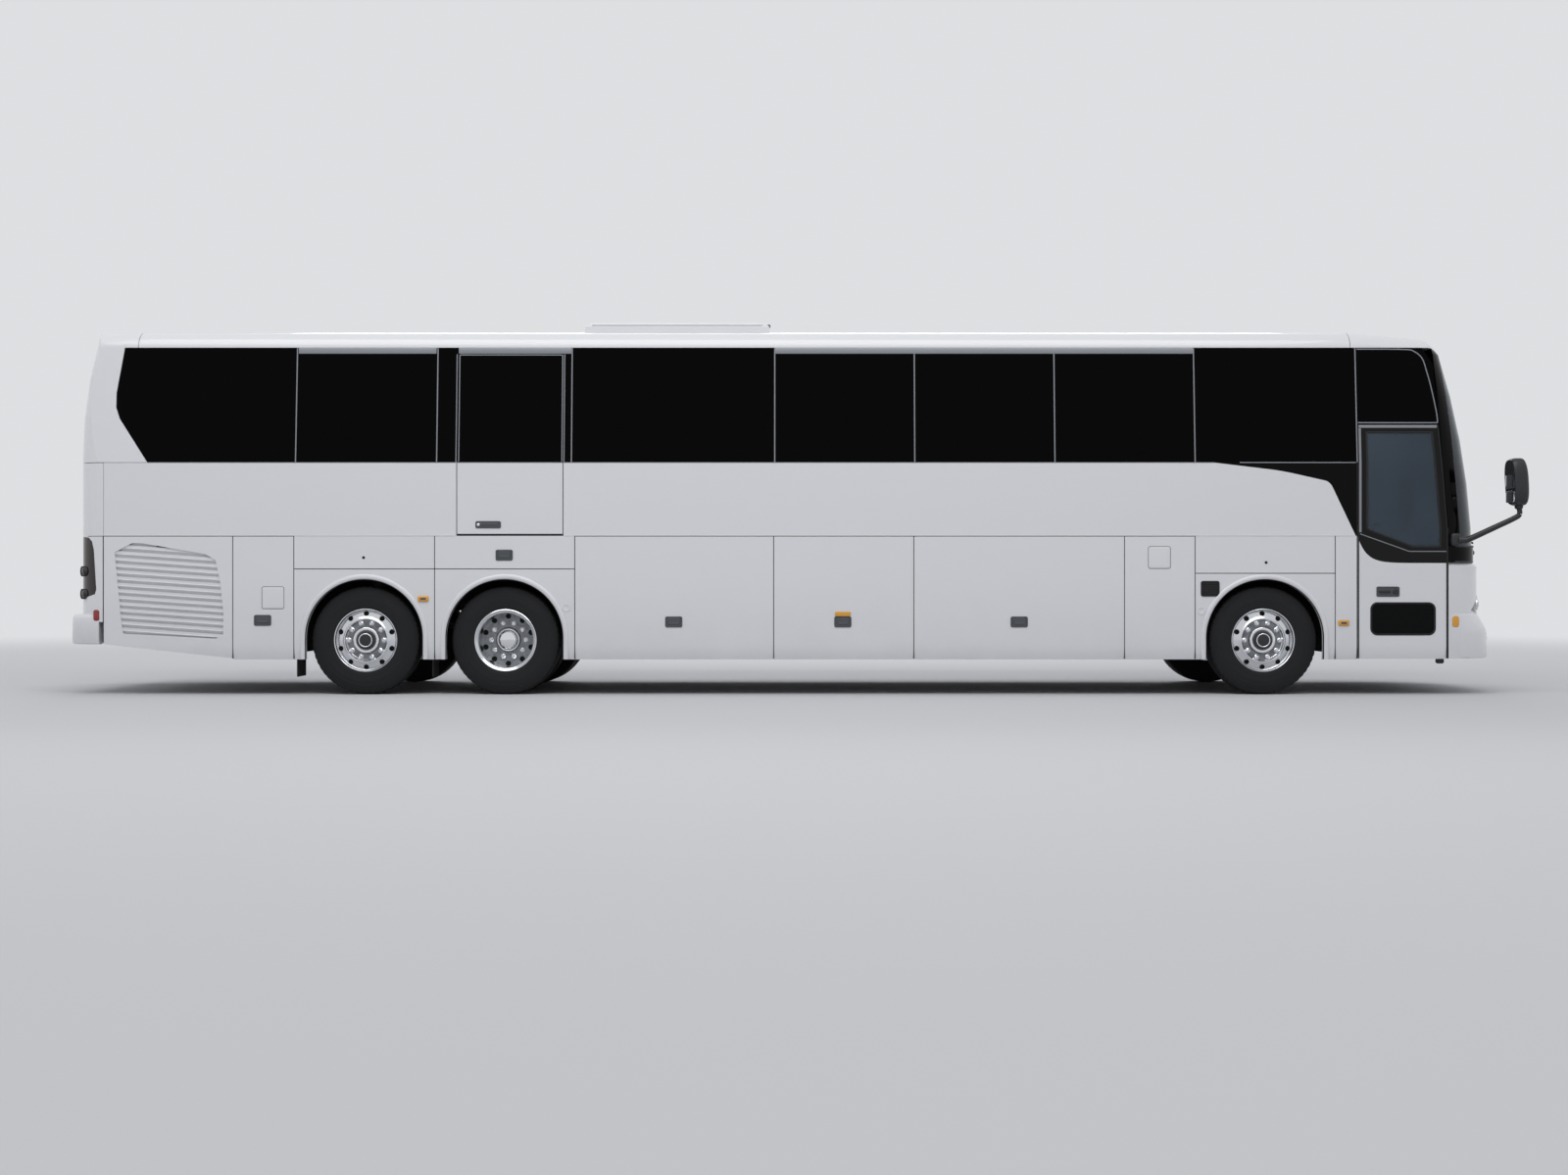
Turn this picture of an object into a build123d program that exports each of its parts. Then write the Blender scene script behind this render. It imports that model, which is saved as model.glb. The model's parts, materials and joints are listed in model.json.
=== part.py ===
"""Three-axle high-floor highway coach, built as the real one is: a welded floor and bulkheads, an outer
skin of separate panels that follow one body envelope, glazed sides, doors and flaps on their hinges,
and wheels on their axles.

Frame: X forward, Y to the left, Z up, millimetres. The origin is on the ground, midway along and across.
"""
import os
from math import sqrt

from build123d import *

os.makedirs("parts", exist_ok=True)

# ---------------------------------------------------------------- driving dimensions
HALF_WIDTH = 1296
SKIRT_Z = 340            # lower edge of the side panels
FLAP_TOP_Z = 1525        # crease above the luggage flaps
BELT_Z = 2230            # lower edge of the side glass
GUTTER_Z = 3340          # upper edge of the side glass
CROWN_Z = 3580           # roof at the centre line
ROOF_RADIUS = 7500
ROOF_EDGE_RADIUS = 180
WINDOW_LEAN = 74         # how far the side glass leans in between belt and gutter

FRONT_X = 6788           # windscreen surface at its foremost height
FRONT_RADIUS = 6978      # side view radius of the front
FRONT_AXIS_Z = 1170
FRONT_AXIS_X = FRONT_X - FRONT_RADIUS
FRONT_PLAN_RADIUS = 3500
FRONT_CORNER_RADIUS = 400
FASCIA_X = 6833
FRONT_BUMPER_X = 6934
ROOF_SLOPE = 0.0865      # fall of the roof ahead of its front seam

REAR_X = -6871
REAR_RADIUS = 4020       # side view radius of the rear above the belt
REAR_CURVE_Z = 2300
REAR_CORNER_RADIUS = 250
REAR_BUMPER_X = -6970

GAP = 6                  # shut line between two panels
SHELL = 45               # thickness of fixed walls
PANEL = 40               # thickness of flaps and doors
GLASS = 9
FRAME_DEPTH = SHELL + 10   # pillars and window frames
FLOOR_Z = 1560           # top of the passenger floor
FLOOR_THICK = 60
CAB_FLOOR_Z = 960        # top of the driver's platform

# vertical shut lines, from the rear
REAR_CORNER_LINE = -6596
GRILLE_LINE = -5355
TAG_LINE = -4770
DRIVE_LINE = -3420
BAY_LINES = (-2076, -169, 1175, 3195)
FUEL_LINE = 3872
FRONT_ARCH_LINE = 5215
DOOR_REAR = 5427
DOOR_FRONT = 6296
DOOR_TOP_Z = 2594
LIFT_DOOR = (-3204, -2189)
LIFT_DOOR_Z = (1545, 3280)
ROOF_FRONT_LINE = 5385
ROOF_REAR_LINE = -6290

# wheels
TYRE_RADIUS = 522
TYRE_WIDTH = 304
RIM_RADIUS = 286
WHEEL_OUTER_Y = 1250
FRONT_AXLE_X = 4540
DRIVE_AXLE_X = -2750
TAG_AXLE_X = -4096
DUAL_SPACING = 345
KINGPIN_Y = 905
SEAT_SIDES = 36          # rim seats and the steering wheel have flats fine enough to read as round
ARCH_RADIUS = 562
ARCH_Z = 545


# ---------------------------------------------------------------- body envelope
def body_section(inset, extra=0):
    """Cross section of the body in the YZ plane, moved in by the wall thickness given.

    Extra makes the body wider on each side."""
    half = HALF_WIDTH + extra
    edge_y = half - WINDOW_LEAN - 9
    edge_z = CROWN_Z - (ROOF_RADIUS - sqrt(ROOF_RADIUS**2 - edge_y**2))
    with BuildSketch() as section:
        with BuildLine():
            ThreePointArc((-edge_y, edge_z), (0, CROWN_Z), (edge_y, edge_z))
            Polyline((edge_y, edge_z), (half, BELT_Z), (half, 410), (1225, 100), (-1225, 100),
                     (-half, 410), (-half, BELT_Z), (-edge_y, edge_z))
        make_face()
        fillet(section.vertices().group_by(Axis.Y)[-1], ROOF_EDGE_RADIUS)
        fillet([v for v in section.vertices() if abs(v.Y - 410) < 1], 600)
        if inset:
            offset(amount=-inset, kind=Kind.INTERSECTION, mode=Mode.REPLACE)
    return section.sketch


def front_plan(nose_x, corner_radius, back_x, inset=0):
    """Plan outline of the front: one wide arc with round corners, square at back_x."""
    side = HALF_WIDTH - inset
    arc_end = nose_x - (FRONT_PLAN_RADIUS - sqrt(FRONT_PLAN_RADIUS**2 - HALF_WIDTH**2))
    with BuildSketch() as plan:
        with BuildLine():
            ThreePointArc((arc_end - inset, -side), (nose_x - inset, 0), (arc_end - inset, side))
            Polyline((arc_end - inset, side), (back_x, side), (back_x, -side), (arc_end - inset, -side))
        make_face()
        fillet(plan.vertices().group_by(Axis.X)[-1], corner_radius - inset)
    return plan.sketch


def rear_plan(back_x, corner_radius, front_x, inset=0):
    """Plan outline of the rear: flat with round corners, square at front_x."""
    with BuildSketch() as plan:
        with Locations(((back_x + inset + front_x) / 2, 0)):
            Rectangle(front_x - back_x - inset, 2 * (HALF_WIDTH - inset))
        fillet(plan.vertices().group_by(Axis.X)[0], corner_radius - inset)
    return plan.sketch


def screen_x(z):
    """Foremost X of the windscreen at a height."""
    return FRONT_AXIS_X + sqrt(FRONT_RADIUS**2 - (z - FRONT_AXIS_Z) ** 2)


def rear_x(z):
    """Rearmost X of the rear face at a height above the belt."""
    return REAR_X + REAR_RADIUS - sqrt(REAR_RADIUS**2 - (z - REAR_CURVE_Z) ** 2)


# levels of the nose and of the rear, as (x at the centre line, z): upright, leaning back, then the brow
SCREEN_LEVELS = [(screen_x(z), z) for z in (FRONT_AXIS_Z, 1620, 2040, 2460, 2880, 3285)]
NOSE_LEVELS = [(FRONT_X, 50), *SCREEN_LEVELS, (6442, 3310), (6408, 3355), (6361, 3397), (6295, 3431),
               (6208, 3456), (6050, 3490), (5860, 3540), (5600, 3625)]
REAR_LEVELS = [(REAR_X, 50), *[(rear_x(z), z) for z in (REAR_CURVE_Z, 2680, 3060, 3455)], (-6682, 3500),
               (-6650, 3537), (-6600, 3562), (-6500, 3578), (-6300, 3625)]
LEVEL_SHIFT_Z = 3200     # levels above this also sink by the wall thickness


def stacked(levels, plan, inset):
    """Body that joins the plan outlines of all levels by ruled faces."""
    outlines = []
    for x, z in levels:
        sunk_z = z - inset if z > LEVEL_SHIFT_Z else z
        outlines.append(Pos(0, 0, sunk_z) * plan(x, inset).face())
    return loft(outlines, ruled=True)


def front_body(inset):
    """Envelope ahead of the front axle: the section, limited by the stacked nose and the sloping roof."""
    section = body_section(inset)
    wide_section = body_section(inset, 6)
    nose = stacked(NOSE_LEVELS, lambda x, depth: front_plan(x, FRONT_CORNER_RADIUS, 4800, depth), inset)
    with BuildPart() as body:
        with BuildSketch(Plane.YZ.offset(5000)):
            add(section)
        extrude(amount=2200)
        add(nose, mode=Mode.INTERSECT)
        with BuildSketch(Plane.YZ.offset(ROOF_FRONT_LINE)):
            with Locations((0, CROWN_Z)):
                Rectangle(2 * HALF_WIDTH + 400, 600)
            add(wide_section, mode=Mode.SUBTRACT)
        extrude(amount=1500, dir=(1, 0, -ROOF_SLOPE), mode=Mode.SUBTRACT)
    return body.part


def rear_body(inset):
    """Envelope behind the tag axle: the section, limited by the stacked rear."""
    section = body_section(inset)
    rear = stacked(REAR_LEVELS, lambda x, depth: rear_plan(x, REAR_CORNER_RADIUS, -4700, depth), inset)
    with BuildPart() as body:
        with BuildSketch(Plane.YZ.offset(-7000)):
            add(section)
        extrude(amount=2200)
        add(rear, mode=Mode.INTERSECT)
    return body.part


def middle_body(inset):
    """Straight part of the envelope."""
    section = body_section(inset)
    with BuildPart() as body:
        with BuildSketch(Plane.YZ.offset(-6600)):
            add(section)
        extrude(amount=12900)
    return body.part


ENVELOPES = {}
ZONES = {"front": front_body, "middle": middle_body, "rear": rear_body}


def skin(zone, outer, inner):
    """Wall between two envelopes of one zone, at the depths given."""
    for depth in (outer, inner):
        if (zone, depth) not in ENVELOPES:
            ENVELOPES[zone, depth] = ZONES[zone](depth)
    if (zone, outer, inner) not in ENVELOPES:
        ENVELOPES[zone, outer, inner] = ENVELOPES[zone, outer] - ENVELOPES[zone, inner]
    return ENVELOPES[zone, outer, inner]


def finish(part, name):
    """Label a finished piece and write its STEP file."""
    part.label = name
    export_step(part, f"parts/{name}.step")
    return part


def wall_piece(zone, outer, inner, outline, right_only=False, cuts=()):
    """The wall inside an (x, z) outline, on the right-hand side only or right across, less the cuts."""
    wall = skin(zone, outer, inner)
    with BuildPart() as piece:
        with BuildSketch(Plane.XZ):
            with BuildLine():
                Polyline(*outline, close=True)
            make_face()
            for cut in cuts:
                add(cut, mode=Mode.SUBTRACT)
        extrude(amount=1500, both=not right_only)
        add(wall, mode=Mode.INTERSECT)
    return piece.part


def rectangle_outline(x0, x1, z0, z1):
    """Corners of an upright rectangle, as (x, z)."""
    return ((x0, z0), (x1, z0), (x1, z1), (x0, z1))


def left_copy(part):
    """The same piece on the left-hand side."""
    return mirror(part, about=Plane.XZ)


def arch_cut(axle_x):
    """Wheel arch: round above, straight down to below the skirt."""
    with BuildSketch() as cut:
        with Locations((axle_x, ARCH_Z)):
            Circle(ARCH_RADIUS)
        with Locations((axle_x, ARCH_Z / 2)):
            Rectangle(2 * ARCH_RADIUS, ARCH_Z)
    return cut.sketch


def round_window(x0, x1, z0, z1, radius):
    """Rectangular cut with round corners."""
    with BuildSketch() as cut:
        with Locations(((x0 + x1) / 2, (z0 + z1) / 2)):
            RectangleRounded(x1 - x0, z1 - z0, radius)
    return cut.sketch


# ---------------------------------------------------------------- roof and end caps
FAR_REAR = -7000
FAR_FRONT = 7000
ROOF_OUTLINE = rectangle_outline(ROOF_REAR_LINE + GAP, ROOF_FRONT_LINE - GAP, GUTTER_Z, 4000)
roof_shell = finish(wall_piece("middle", 0, SHELL, ROOF_OUTLINE), "roof_shell")

WINDSCREEN_TOP_Z = 3285
FRONT_CAP_OUTLINE = ((ROOF_FRONT_LINE, 4000), (ROOF_FRONT_LINE, GUTTER_Z), (6180, GUTTER_Z),
                     (6290, WINDSCREEN_TOP_Z), (FAR_FRONT, WINDSCREEN_TOP_Z), (FAR_FRONT, 4000))
front_cap = finish(wall_piece("front", 0, SHELL, FRONT_CAP_OUTLINE), "front_cap")

# rear edge of the side glass, from the gutter down to the belt, as (x, z)
REAR_GLASS_EDGE = ((-6417, GUTTER_Z), (-6487, 2900), (-6487, 2760), (-6450, 2650), (-6177, BELT_Z))
REAR_CAP_OUTLINE = ((ROOF_REAR_LINE, 4000), (ROOF_REAR_LINE, GUTTER_Z), *REAR_GLASS_EDGE,
                    (FAR_REAR, BELT_Z), (FAR_REAR, 4000))
REAR_WINDOW = (-980, 980, 2420, 3180)


def rear_prism(sketch):
    """What lies ahead of a (y, z) sketch drawn on the rear face, for one metre."""
    with BuildPart() as prism:
        with BuildSketch(Plane.YZ.offset(FAR_REAR)):
            add(sketch)
        extrude(amount=1000)
    return prism.part


rear_opening = rear_prism(round_window(*REAR_WINDOW, 90))
rear_skin = wall_piece("rear", 0, SHELL, REAR_CAP_OUTLINE)
with BuildPart() as rear_cap:
    add(rear_skin)
    add(rear_opening, mode=Mode.SUBTRACT)
finish(rear_cap.part, "rear_cap")

rear_pane_skin = wall_piece("rear", 2, 2 + GLASS, REAR_CAP_OUTLINE)
with BuildPart() as rear_window:
    add(rear_pane_skin)
    add(rear_opening, mode=Mode.INTERSECT)

# ---------------------------------------------------------------- rear below the belt
LID_HALF_WIDTH = 985
LID_Z = (725, 1960)
lid_opening = rear_prism(round_window(-LID_HALF_WIDTH - GAP, LID_HALF_WIDTH + GAP, LID_Z[0] - 300,
                                      LID_Z[1] + GAP, 60))
lid_outline = rear_prism(round_window(-LID_HALF_WIDTH, LID_HALF_WIDTH, *LID_Z, 55))
REAR_WALL_OUTLINE = rectangle_outline(FAR_REAR, REAR_CORNER_LINE, FLAP_TOP_Z, BELT_Z - GAP)
rear_wall_skin = wall_piece("rear", 0, SHELL, REAR_WALL_OUTLINE)
with BuildPart() as rear_wall:
    add(rear_wall_skin)
    add(lid_opening, mode=Mode.SUBTRACT)
finish(rear_wall.part, "rear_wall")

# tail lamp outline on the side of the corner, as (x, z)
TAIL_LAMP = ((FAR_REAR, 1535), (-6750, 1510), (-6710, 1470), (-6690, 1385), (-6665, 1010), (-6680, 965),
             (FAR_REAR, 870))
TAIL_LAMP_REAR_Y = 1080
between_lamps = rear_prism(round_window(-TAIL_LAMP_REAR_Y, TAIL_LAMP_REAR_Y, 400, 1800, 5))
lamp_skin = wall_piece("rear", 0, SHELL - 10, TAIL_LAMP)
with BuildPart() as tail_lamps:
    add(lamp_skin)
    add(between_lamps, mode=Mode.SUBTRACT)
finish(tail_lamps.part, "tail_lamps")

CORNER_OUTLINE = rectangle_outline(FAR_REAR, REAR_CORNER_LINE - GAP, 700, FLAP_TOP_Z - GAP)
corner_skin = wall_piece("rear", 0, SHELL, CORNER_OUTLINE)
with BuildPart() as rear_corners:
    add(corner_skin)
    add(lid_opening, mode=Mode.SUBTRACT)
    add(tail_lamps.part, mode=Mode.SUBTRACT)
finish(rear_corners.part, "rear_corners")

BUMPER_FRONT_X = -6640
REAR_BUMPER_Z = (485, 695)
bumper_plan = rear_plan(REAR_BUMPER_X, 240, BUMPER_FRONT_X)
bumper_hollow = rear_plan(REAR_BUMPER_X + 90, 200, BUMPER_FRONT_X + 50, 60)
with BuildPart() as rear_bumper:
    with BuildSketch(Plane.XY.offset(REAR_BUMPER_Z[0])):
        add(bumper_plan)
        add(bumper_hollow, mode=Mode.SUBTRACT)
    extrude(amount=REAR_BUMPER_Z[1] - REAR_BUMPER_Z[0])
finish(rear_bumper.part, "rear_bumper")

# engine lid: top-hinged panel with rows of louvre slots
LOUVRE_ROWS = 7
LOUVRE_PITCH = 75
LOUVRE_HALF = 620
lid_skin = wall_piece("rear", 0, PANEL, rectangle_outline(FAR_REAR, REAR_CORNER_LINE, *LID_Z))
with BuildPart() as engine_lid:
    add(lid_skin)
    add(lid_outline, mode=Mode.INTERSECT)
    with BuildSketch(Plane.YZ.offset(FAR_REAR)):
        with Locations((0, 1350)):
            with GridLocations(1, LOUVRE_PITCH, 1, LOUVRE_ROWS):
                Rectangle(2 * LOUVRE_HALF, 32)
    extrude(amount=1000, mode=Mode.SUBTRACT)
finish(engine_lid.part, "engine_lid")

# ---------------------------------------------------------------- front
# edge between the door or driver's window and the pillar, from the bottom up, as (x, z)
PILLAR_X = 6302
PILLAR_WIDTH = 120
BAND_Z = (1275, 1427)
WINDSCREEN_OUTLINE = ((PILLAR_X + PILLAR_WIDTH, BAND_Z[1] + 4), (PILLAR_X + PILLAR_WIDTH, 1600),
                      (6222 + PILLAR_WIDTH, 2594), (6150 + PILLAR_WIDTH, WINDSCREEN_TOP_Z - 4),
                      (FAR_FRONT, WINDSCREEN_TOP_Z - 4), (FAR_FRONT, BAND_Z[1] + 4))
windscreen = finish(wall_piece("front", 0, GLASS + 3, WINDSCREEN_OUTLINE), "windscreen")

PILLAR_OUTLINE = ((PILLAR_X, BAND_Z[0]), (PILLAR_X, 1600), (6222, 2594), (6180, GUTTER_Z - 2),
                  (6170 + PILLAR_WIDTH, WINDSCREEN_TOP_Z - 2), (6146 + PILLAR_WIDTH, WINDSCREEN_TOP_Z - 2),
                  (6218 + PILLAR_WIDTH, 2594), (PILLAR_X + PILLAR_WIDTH - 4, 1600),
                  (PILLAR_X + PILLAR_WIDTH - 4, BAND_Z[0]))
front_pillars = wall_piece("front", 0, FRAME_DEPTH, PILLAR_OUTLINE)


def nose_wall(nose_x, corner_radius, z0, z1, thick):
    """Upright wall that follows the front plan, from the pillar line round the nose."""
    outer = front_plan(nose_x, corner_radius, 5800)
    inner = front_plan(nose_x, corner_radius, 5700, thick)
    with BuildPart() as wall:
        with BuildSketch(Plane.XY.offset(z0)):
            add(outer)
            add(inner, mode=Mode.SUBTRACT)
            with Locations((PILLAR_X - 500, 0)):
                Rectangle(1000, 4000, mode=Mode.SUBTRACT)
        extrude(amount=z1 - z0)
    return wall.part


band_wall = nose_wall(FRONT_X + 10, 400, BAND_Z[0], BAND_Z[1], SHELL)
with BuildPart() as windscreen_surround:
    add(front_pillars)
    add(band_wall)
finish(windscreen_surround.part, "windscreen_surround")

LAMP_OUTLINE = ((6560, 810), (6700, 760), (FAR_FRONT, 770), (FAR_FRONT, 990), (6700, 960))
LAMP_INNER_Y = 830
lamp_wall = nose_wall(FASCIA_X + 3, 442, 700, 1100, SHELL)
with BuildPart() as headlamps:
    with BuildSketch(Plane.XZ):
        with BuildLine():
            Polyline(*LAMP_OUTLINE, close=True)
        make_face()
    extrude(amount=1500, both=True)
    add(lamp_wall, mode=Mode.INTERSECT)
    with BuildSketch(Plane.YZ.offset(6000)):
        with Locations((0, 900)):
            Rectangle(2 * LAMP_INNER_Y, 900)
    extrude(amount=1200, mode=Mode.SUBTRACT)
finish(headlamps.part, "headlamps")

fascia_wall = nose_wall(FASCIA_X, 440, SKIRT_Z + 10, BAND_Z[0] - 3, SHELL + 20)
with BuildPart() as front_fascia:
    add(fascia_wall)
    nose_edge = front_fascia.edges().filter_by(lambda e: e.center().Z > BAND_Z[0] - 4).sort_by(Axis.X)[-1]
    chamfer(nose_edge, 38)
    add(headlamps.part, mode=Mode.SUBTRACT)
finish(front_fascia.part, "front_fascia")

BUMPER_Z = (350, 705)
BUMPER_BACK_X = 6420
bumper_outer = front_plan(FRONT_BUMPER_X, 470, 6000)
bumper_inner = front_plan(FASCIA_X, 440, 5900)
with BuildPart() as front_bumper:
    with BuildSketch(Plane.XY.offset(BUMPER_Z[0])):
        add(bumper_outer)
        add(bumper_inner, mode=Mode.SUBTRACT)
        with Locations((BUMPER_BACK_X - 500, 0)):
            Rectangle(1000, 4000, mode=Mode.SUBTRACT)
    extrude(amount=BUMPER_Z[1] - BUMPER_Z[0])
finish(front_bumper.part, "front_bumper")

# ---------------------------------------------------------------- glazed sides
HALF_GAP = 4
WINDOW_JOINT = 6         # half of the pale joint between two panes
BAND_FRONT_X = 5421
# side panes from the rear, as (x0, x1)
PANES = ((-6487, -4754), (-4754, -3401), (-3401, -3208), (-3208, -2189), (-2189, -2109), (-2109, -159),
         (-159, 1184), (1184, 2528), (2528, 3872), (3872, BAND_FRONT_X))
LIFT_PANE = 3            # on the right this pane belongs to the lift door
POST_HALF = 32
POST_Z = (BELT_Z + 30, 3285)  # between the lower and the upper rail
PANE_Z = (BELT_Z, GUTTER_Z - 2)
FRONT_PANE = ((5433, DOOR_TOP_Z + 6), (6212, DOOR_TOP_Z + 6), (6176, 3180), (6070, PANE_Z[1]),
              (5433, PANE_Z[1]))
FRONT_OPENING = ((5470, DOOR_TOP_Z + 46), (6170, DOOR_TOP_Z + 46), (6136, 3160), (6050, 3290), (5470, 3290))
DRIVER_PANE = ((5433, 1450), (PILLAR_X - 8, 1450), (PILLAR_X - 8, 1600), (6214, DOOR_TOP_Z),
               (5433, DOOR_TOP_Z))
DRIVER_OPENING = ((5480, 1500), (6250, 1500), (6250, 1610), (6170, 2550), (5480, 2550))


def pane_outline(x0, x1, joint):
    """Corners of one side pane, drawn in by its joint; the rearmost has a shaped edge."""
    if x0 == PANES[0][0]:
        edge = [(x + joint, z) for x, z in REAR_GLASS_EDGE]
        return ((x1 - joint, BELT_Z), (x1 - joint, PANE_Z[1]), (edge[0][0], PANE_Z[1]), *edge[1:])
    return rectangle_outline(x0 + joint, x1 - joint, *PANE_Z)


def flat(outline):
    """Filled (x, z) outline."""
    with BuildSketch() as sketch:
        with BuildLine():
            Polyline(*outline, close=True)
        make_face()
    return sketch.sketch


def glass_panes(panes):
    """Side panes, flush with the skin, as a list of separate solids."""
    outlines = [pane_outline(*pane, WINDOW_JOINT) for pane in panes]
    return [wall_piece("middle", 0, GLASS, outline, right_only=True) for outline in outlines]


def window_frame(panes):
    """Posts and rails behind a row of panes."""
    openings = [flat(rectangle_outline(x0 + POST_HALF, x1 - POST_HALF, *POST_Z)) for x0, x1 in panes
                if x1 - x0 > 300 and x0 != PANES[0][0]]
    outline = rectangle_outline(panes[0][0] + 4, panes[-1][1] - 4, BELT_Z - 4, GUTTER_Z)
    if panes[0] == PANES[0]:
        x_end = panes[0][1] - POST_HALF
        openings.append(flat(((x_end, POST_Z[0]), (x_end, POST_Z[1]), (-6370, POST_Z[1]), (-6430, 2900),
                              (-6430, 2770), (-6395, 2670), (-6130, POST_Z[0]))))
        edge = [(x + 4, z) for x, z in REAR_GLASS_EDGE]
        outline = ((panes[-1][1] - 4, BELT_Z - 4), (panes[-1][1] - 4, GUTTER_Z), *edge[:-1],
                   (edge[-1][0], BELT_Z - 4))
    return wall_piece("middle", GLASS, FRAME_DEPTH, outline, right_only=True, cuts=openings)


front_frame = wall_piece("middle", GLASS, FRAME_DEPTH, FRONT_PANE, right_only=True,
                         cuts=(flat(FRONT_OPENING),))
front_pane = wall_piece("middle", 0, GLASS, FRONT_PANE, right_only=True)
driver_frame = wall_piece("middle", GLASS, FRAME_DEPTH, DRIVER_PANE, right_only=True,
                          cuts=(flat(DRIVER_OPENING),))
driver_pane = wall_piece("middle", 0, GLASS, DRIVER_PANE, right_only=True)
rear_panes = PANES[:LIFT_PANE]
front_panes = PANES[LIFT_PANE + 1:]
right_glass = [*glass_panes(rear_panes), *glass_panes(front_panes), front_pane]
right_frames = [window_frame(rear_panes), window_frame(front_panes), front_frame]
lift_pane = glass_panes(PANES[LIFT_PANE:LIFT_PANE + 1])[0]
left_glass = [left_copy(pane) for pane in (*right_glass, lift_pane, driver_pane)]
left_frames = [left_copy(frame) for frame in (window_frame(PANES), front_frame, driver_frame)]
finish(Compound([*right_glass, *left_glass, rear_window.part]), "side_glass")


def bars(frame, z0, z1, inside):
    """Solids of a frame between two heights, or those outside them."""
    band = Pos(0, 0, (z0 + z1) / 2) * Box(15000, 4000, z1 - z0)
    return (frame & band if inside else frame - band).solids()


# frames with the heights between which their bars are posts, as (frame, z0, z1)
FRAME_ROWS = [(frame, *POST_Z) for frame in (*right_frames[:2], left_frames[0])]
FRAME_ROWS += [(frame, FRONT_OPENING[0][1], FRONT_OPENING[3][1])
               for frame in (right_frames[2], left_frames[1])]
FRAME_ROWS.append((left_frames[2], DRIVER_OPENING[0][1], DRIVER_OPENING[3][1]))
posts = [solid for frame, z0, z1 in FRAME_ROWS for solid in bars(frame, z0, z1, True)]
rails = [solid for frame, z0, z1 in FRAME_ROWS for solid in bars(frame, z0, z1, False)]
finish(Compound(posts), "window_posts")
finish(Compound(rails), "window_rails")

# ---------------------------------------------------------------- side walls between flaps and glass
# lower edge of the black trim ahead of the belt, from the belt down to the door, as (x, z)
SWOOSH = ((4064, BELT_Z - 4), (4700, 2150), (5165, 2045), (5412, FLAP_TOP_Z))
with BuildSketch() as swoosh_area:
    with BuildLine():
        Polyline(*SWOOSH, (BAND_FRONT_X, FLAP_TOP_Z), (BAND_FRONT_X, BELT_Z - 4), close=True)
    make_face()
    fillet(swoosh_area.vertices().sort_by_distance((5165, 2045))[0], 110)
    fillet(swoosh_area.vertices().sort_by_distance((4700, 2150))[0], 2500)
WALL_Z = (FLAP_TOP_Z, BELT_Z - 4)
front_wall_area = rectangle_outline(LIFT_DOOR[1] + HALF_GAP, BAND_FRONT_X, *WALL_Z)
wall_front = wall_piece("middle", 0, SHELL, front_wall_area, right_only=True, cuts=(swoosh_area.sketch,))
rear_wall_area = rectangle_outline(REAR_CORNER_LINE + 4, LIFT_DOOR[0] - 8, *WALL_Z)
wall_rear = wall_piece("middle", 0, SHELL, rear_wall_area, right_only=True)
wall_left = wall_piece("middle", 0, SHELL, rectangle_outline(REAR_CORNER_LINE + 4, BAND_FRONT_X, *WALL_Z),
                       right_only=True, cuts=(swoosh_area.sketch,))
driver_panel = wall_piece("middle", 0, SHELL, rectangle_outline(DOOR_REAR + 4, DOOR_FRONT, SKIRT_Z, 1444),
                          right_only=True)
finish(Compound([wall_rear, wall_front, left_copy(wall_left), left_copy(driver_panel)]), "side_walls")
with BuildPart() as swoosh:
    with BuildSketch(Plane.XZ):
        add(swoosh_area.sketch)
    extrude(amount=1500, both=True)
    add(skin("middle", 0, SHELL), mode=Mode.INTERSECT)
finish(swoosh.part, "belt_trim")

# ---------------------------------------------------------------- lower panels, flaps and doors
PANEL_Z = (SKIRT_Z, FLAP_TOP_Z - GAP)
# fixed panels round the wheels, as (x0, x1, axle x, height of the joint above the arch)
ARCH_PANELS = ((TAG_LINE, DRIVE_LINE, TAG_AXLE_X, 1208), (DRIVE_LINE, BAY_LINES[0], DRIVE_AXLE_X, 1208),
               (FUEL_LINE, FRONT_ARCH_LINE, FRONT_AXLE_X, 1166))
arch_panels = []
for x0, x1, axle_x, joint_z in ARCH_PANELS:
    upper = rectangle_outline(x0 + HALF_GAP, x1 - HALF_GAP, joint_z + HALF_GAP, FLAP_TOP_Z)
    lower = rectangle_outline(x0 + HALF_GAP, x1 - HALF_GAP, SKIRT_Z, joint_z - HALF_GAP)
    arch_panels.append(wall_piece("middle", 0, SHELL, upper, right_only=True))
    arch_panels.append(wall_piece("middle", 0, SHELL, lower, right_only=True, cuts=(arch_cut(axle_x),)))
door_side = rectangle_outline(FRONT_ARCH_LINE + HALF_GAP, BAND_FRONT_X, SKIRT_Z, FLAP_TOP_Z)
arch_panels.append(wall_piece("middle", 0, SHELL, door_side, right_only=True))
fuel_side = rectangle_outline(BAY_LINES[3] + HALF_GAP, FUEL_LINE - HALF_GAP, SKIRT_Z, FLAP_TOP_Z)
left_fuel_panel = wall_piece("middle", 0, SHELL, fuel_side, right_only=True)
left_arch_panels = [left_copy(panel) for panel in (*arch_panels, left_fuel_panel)]
finish(Compound([*arch_panels, *left_arch_panels]), "arch_panels")

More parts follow.
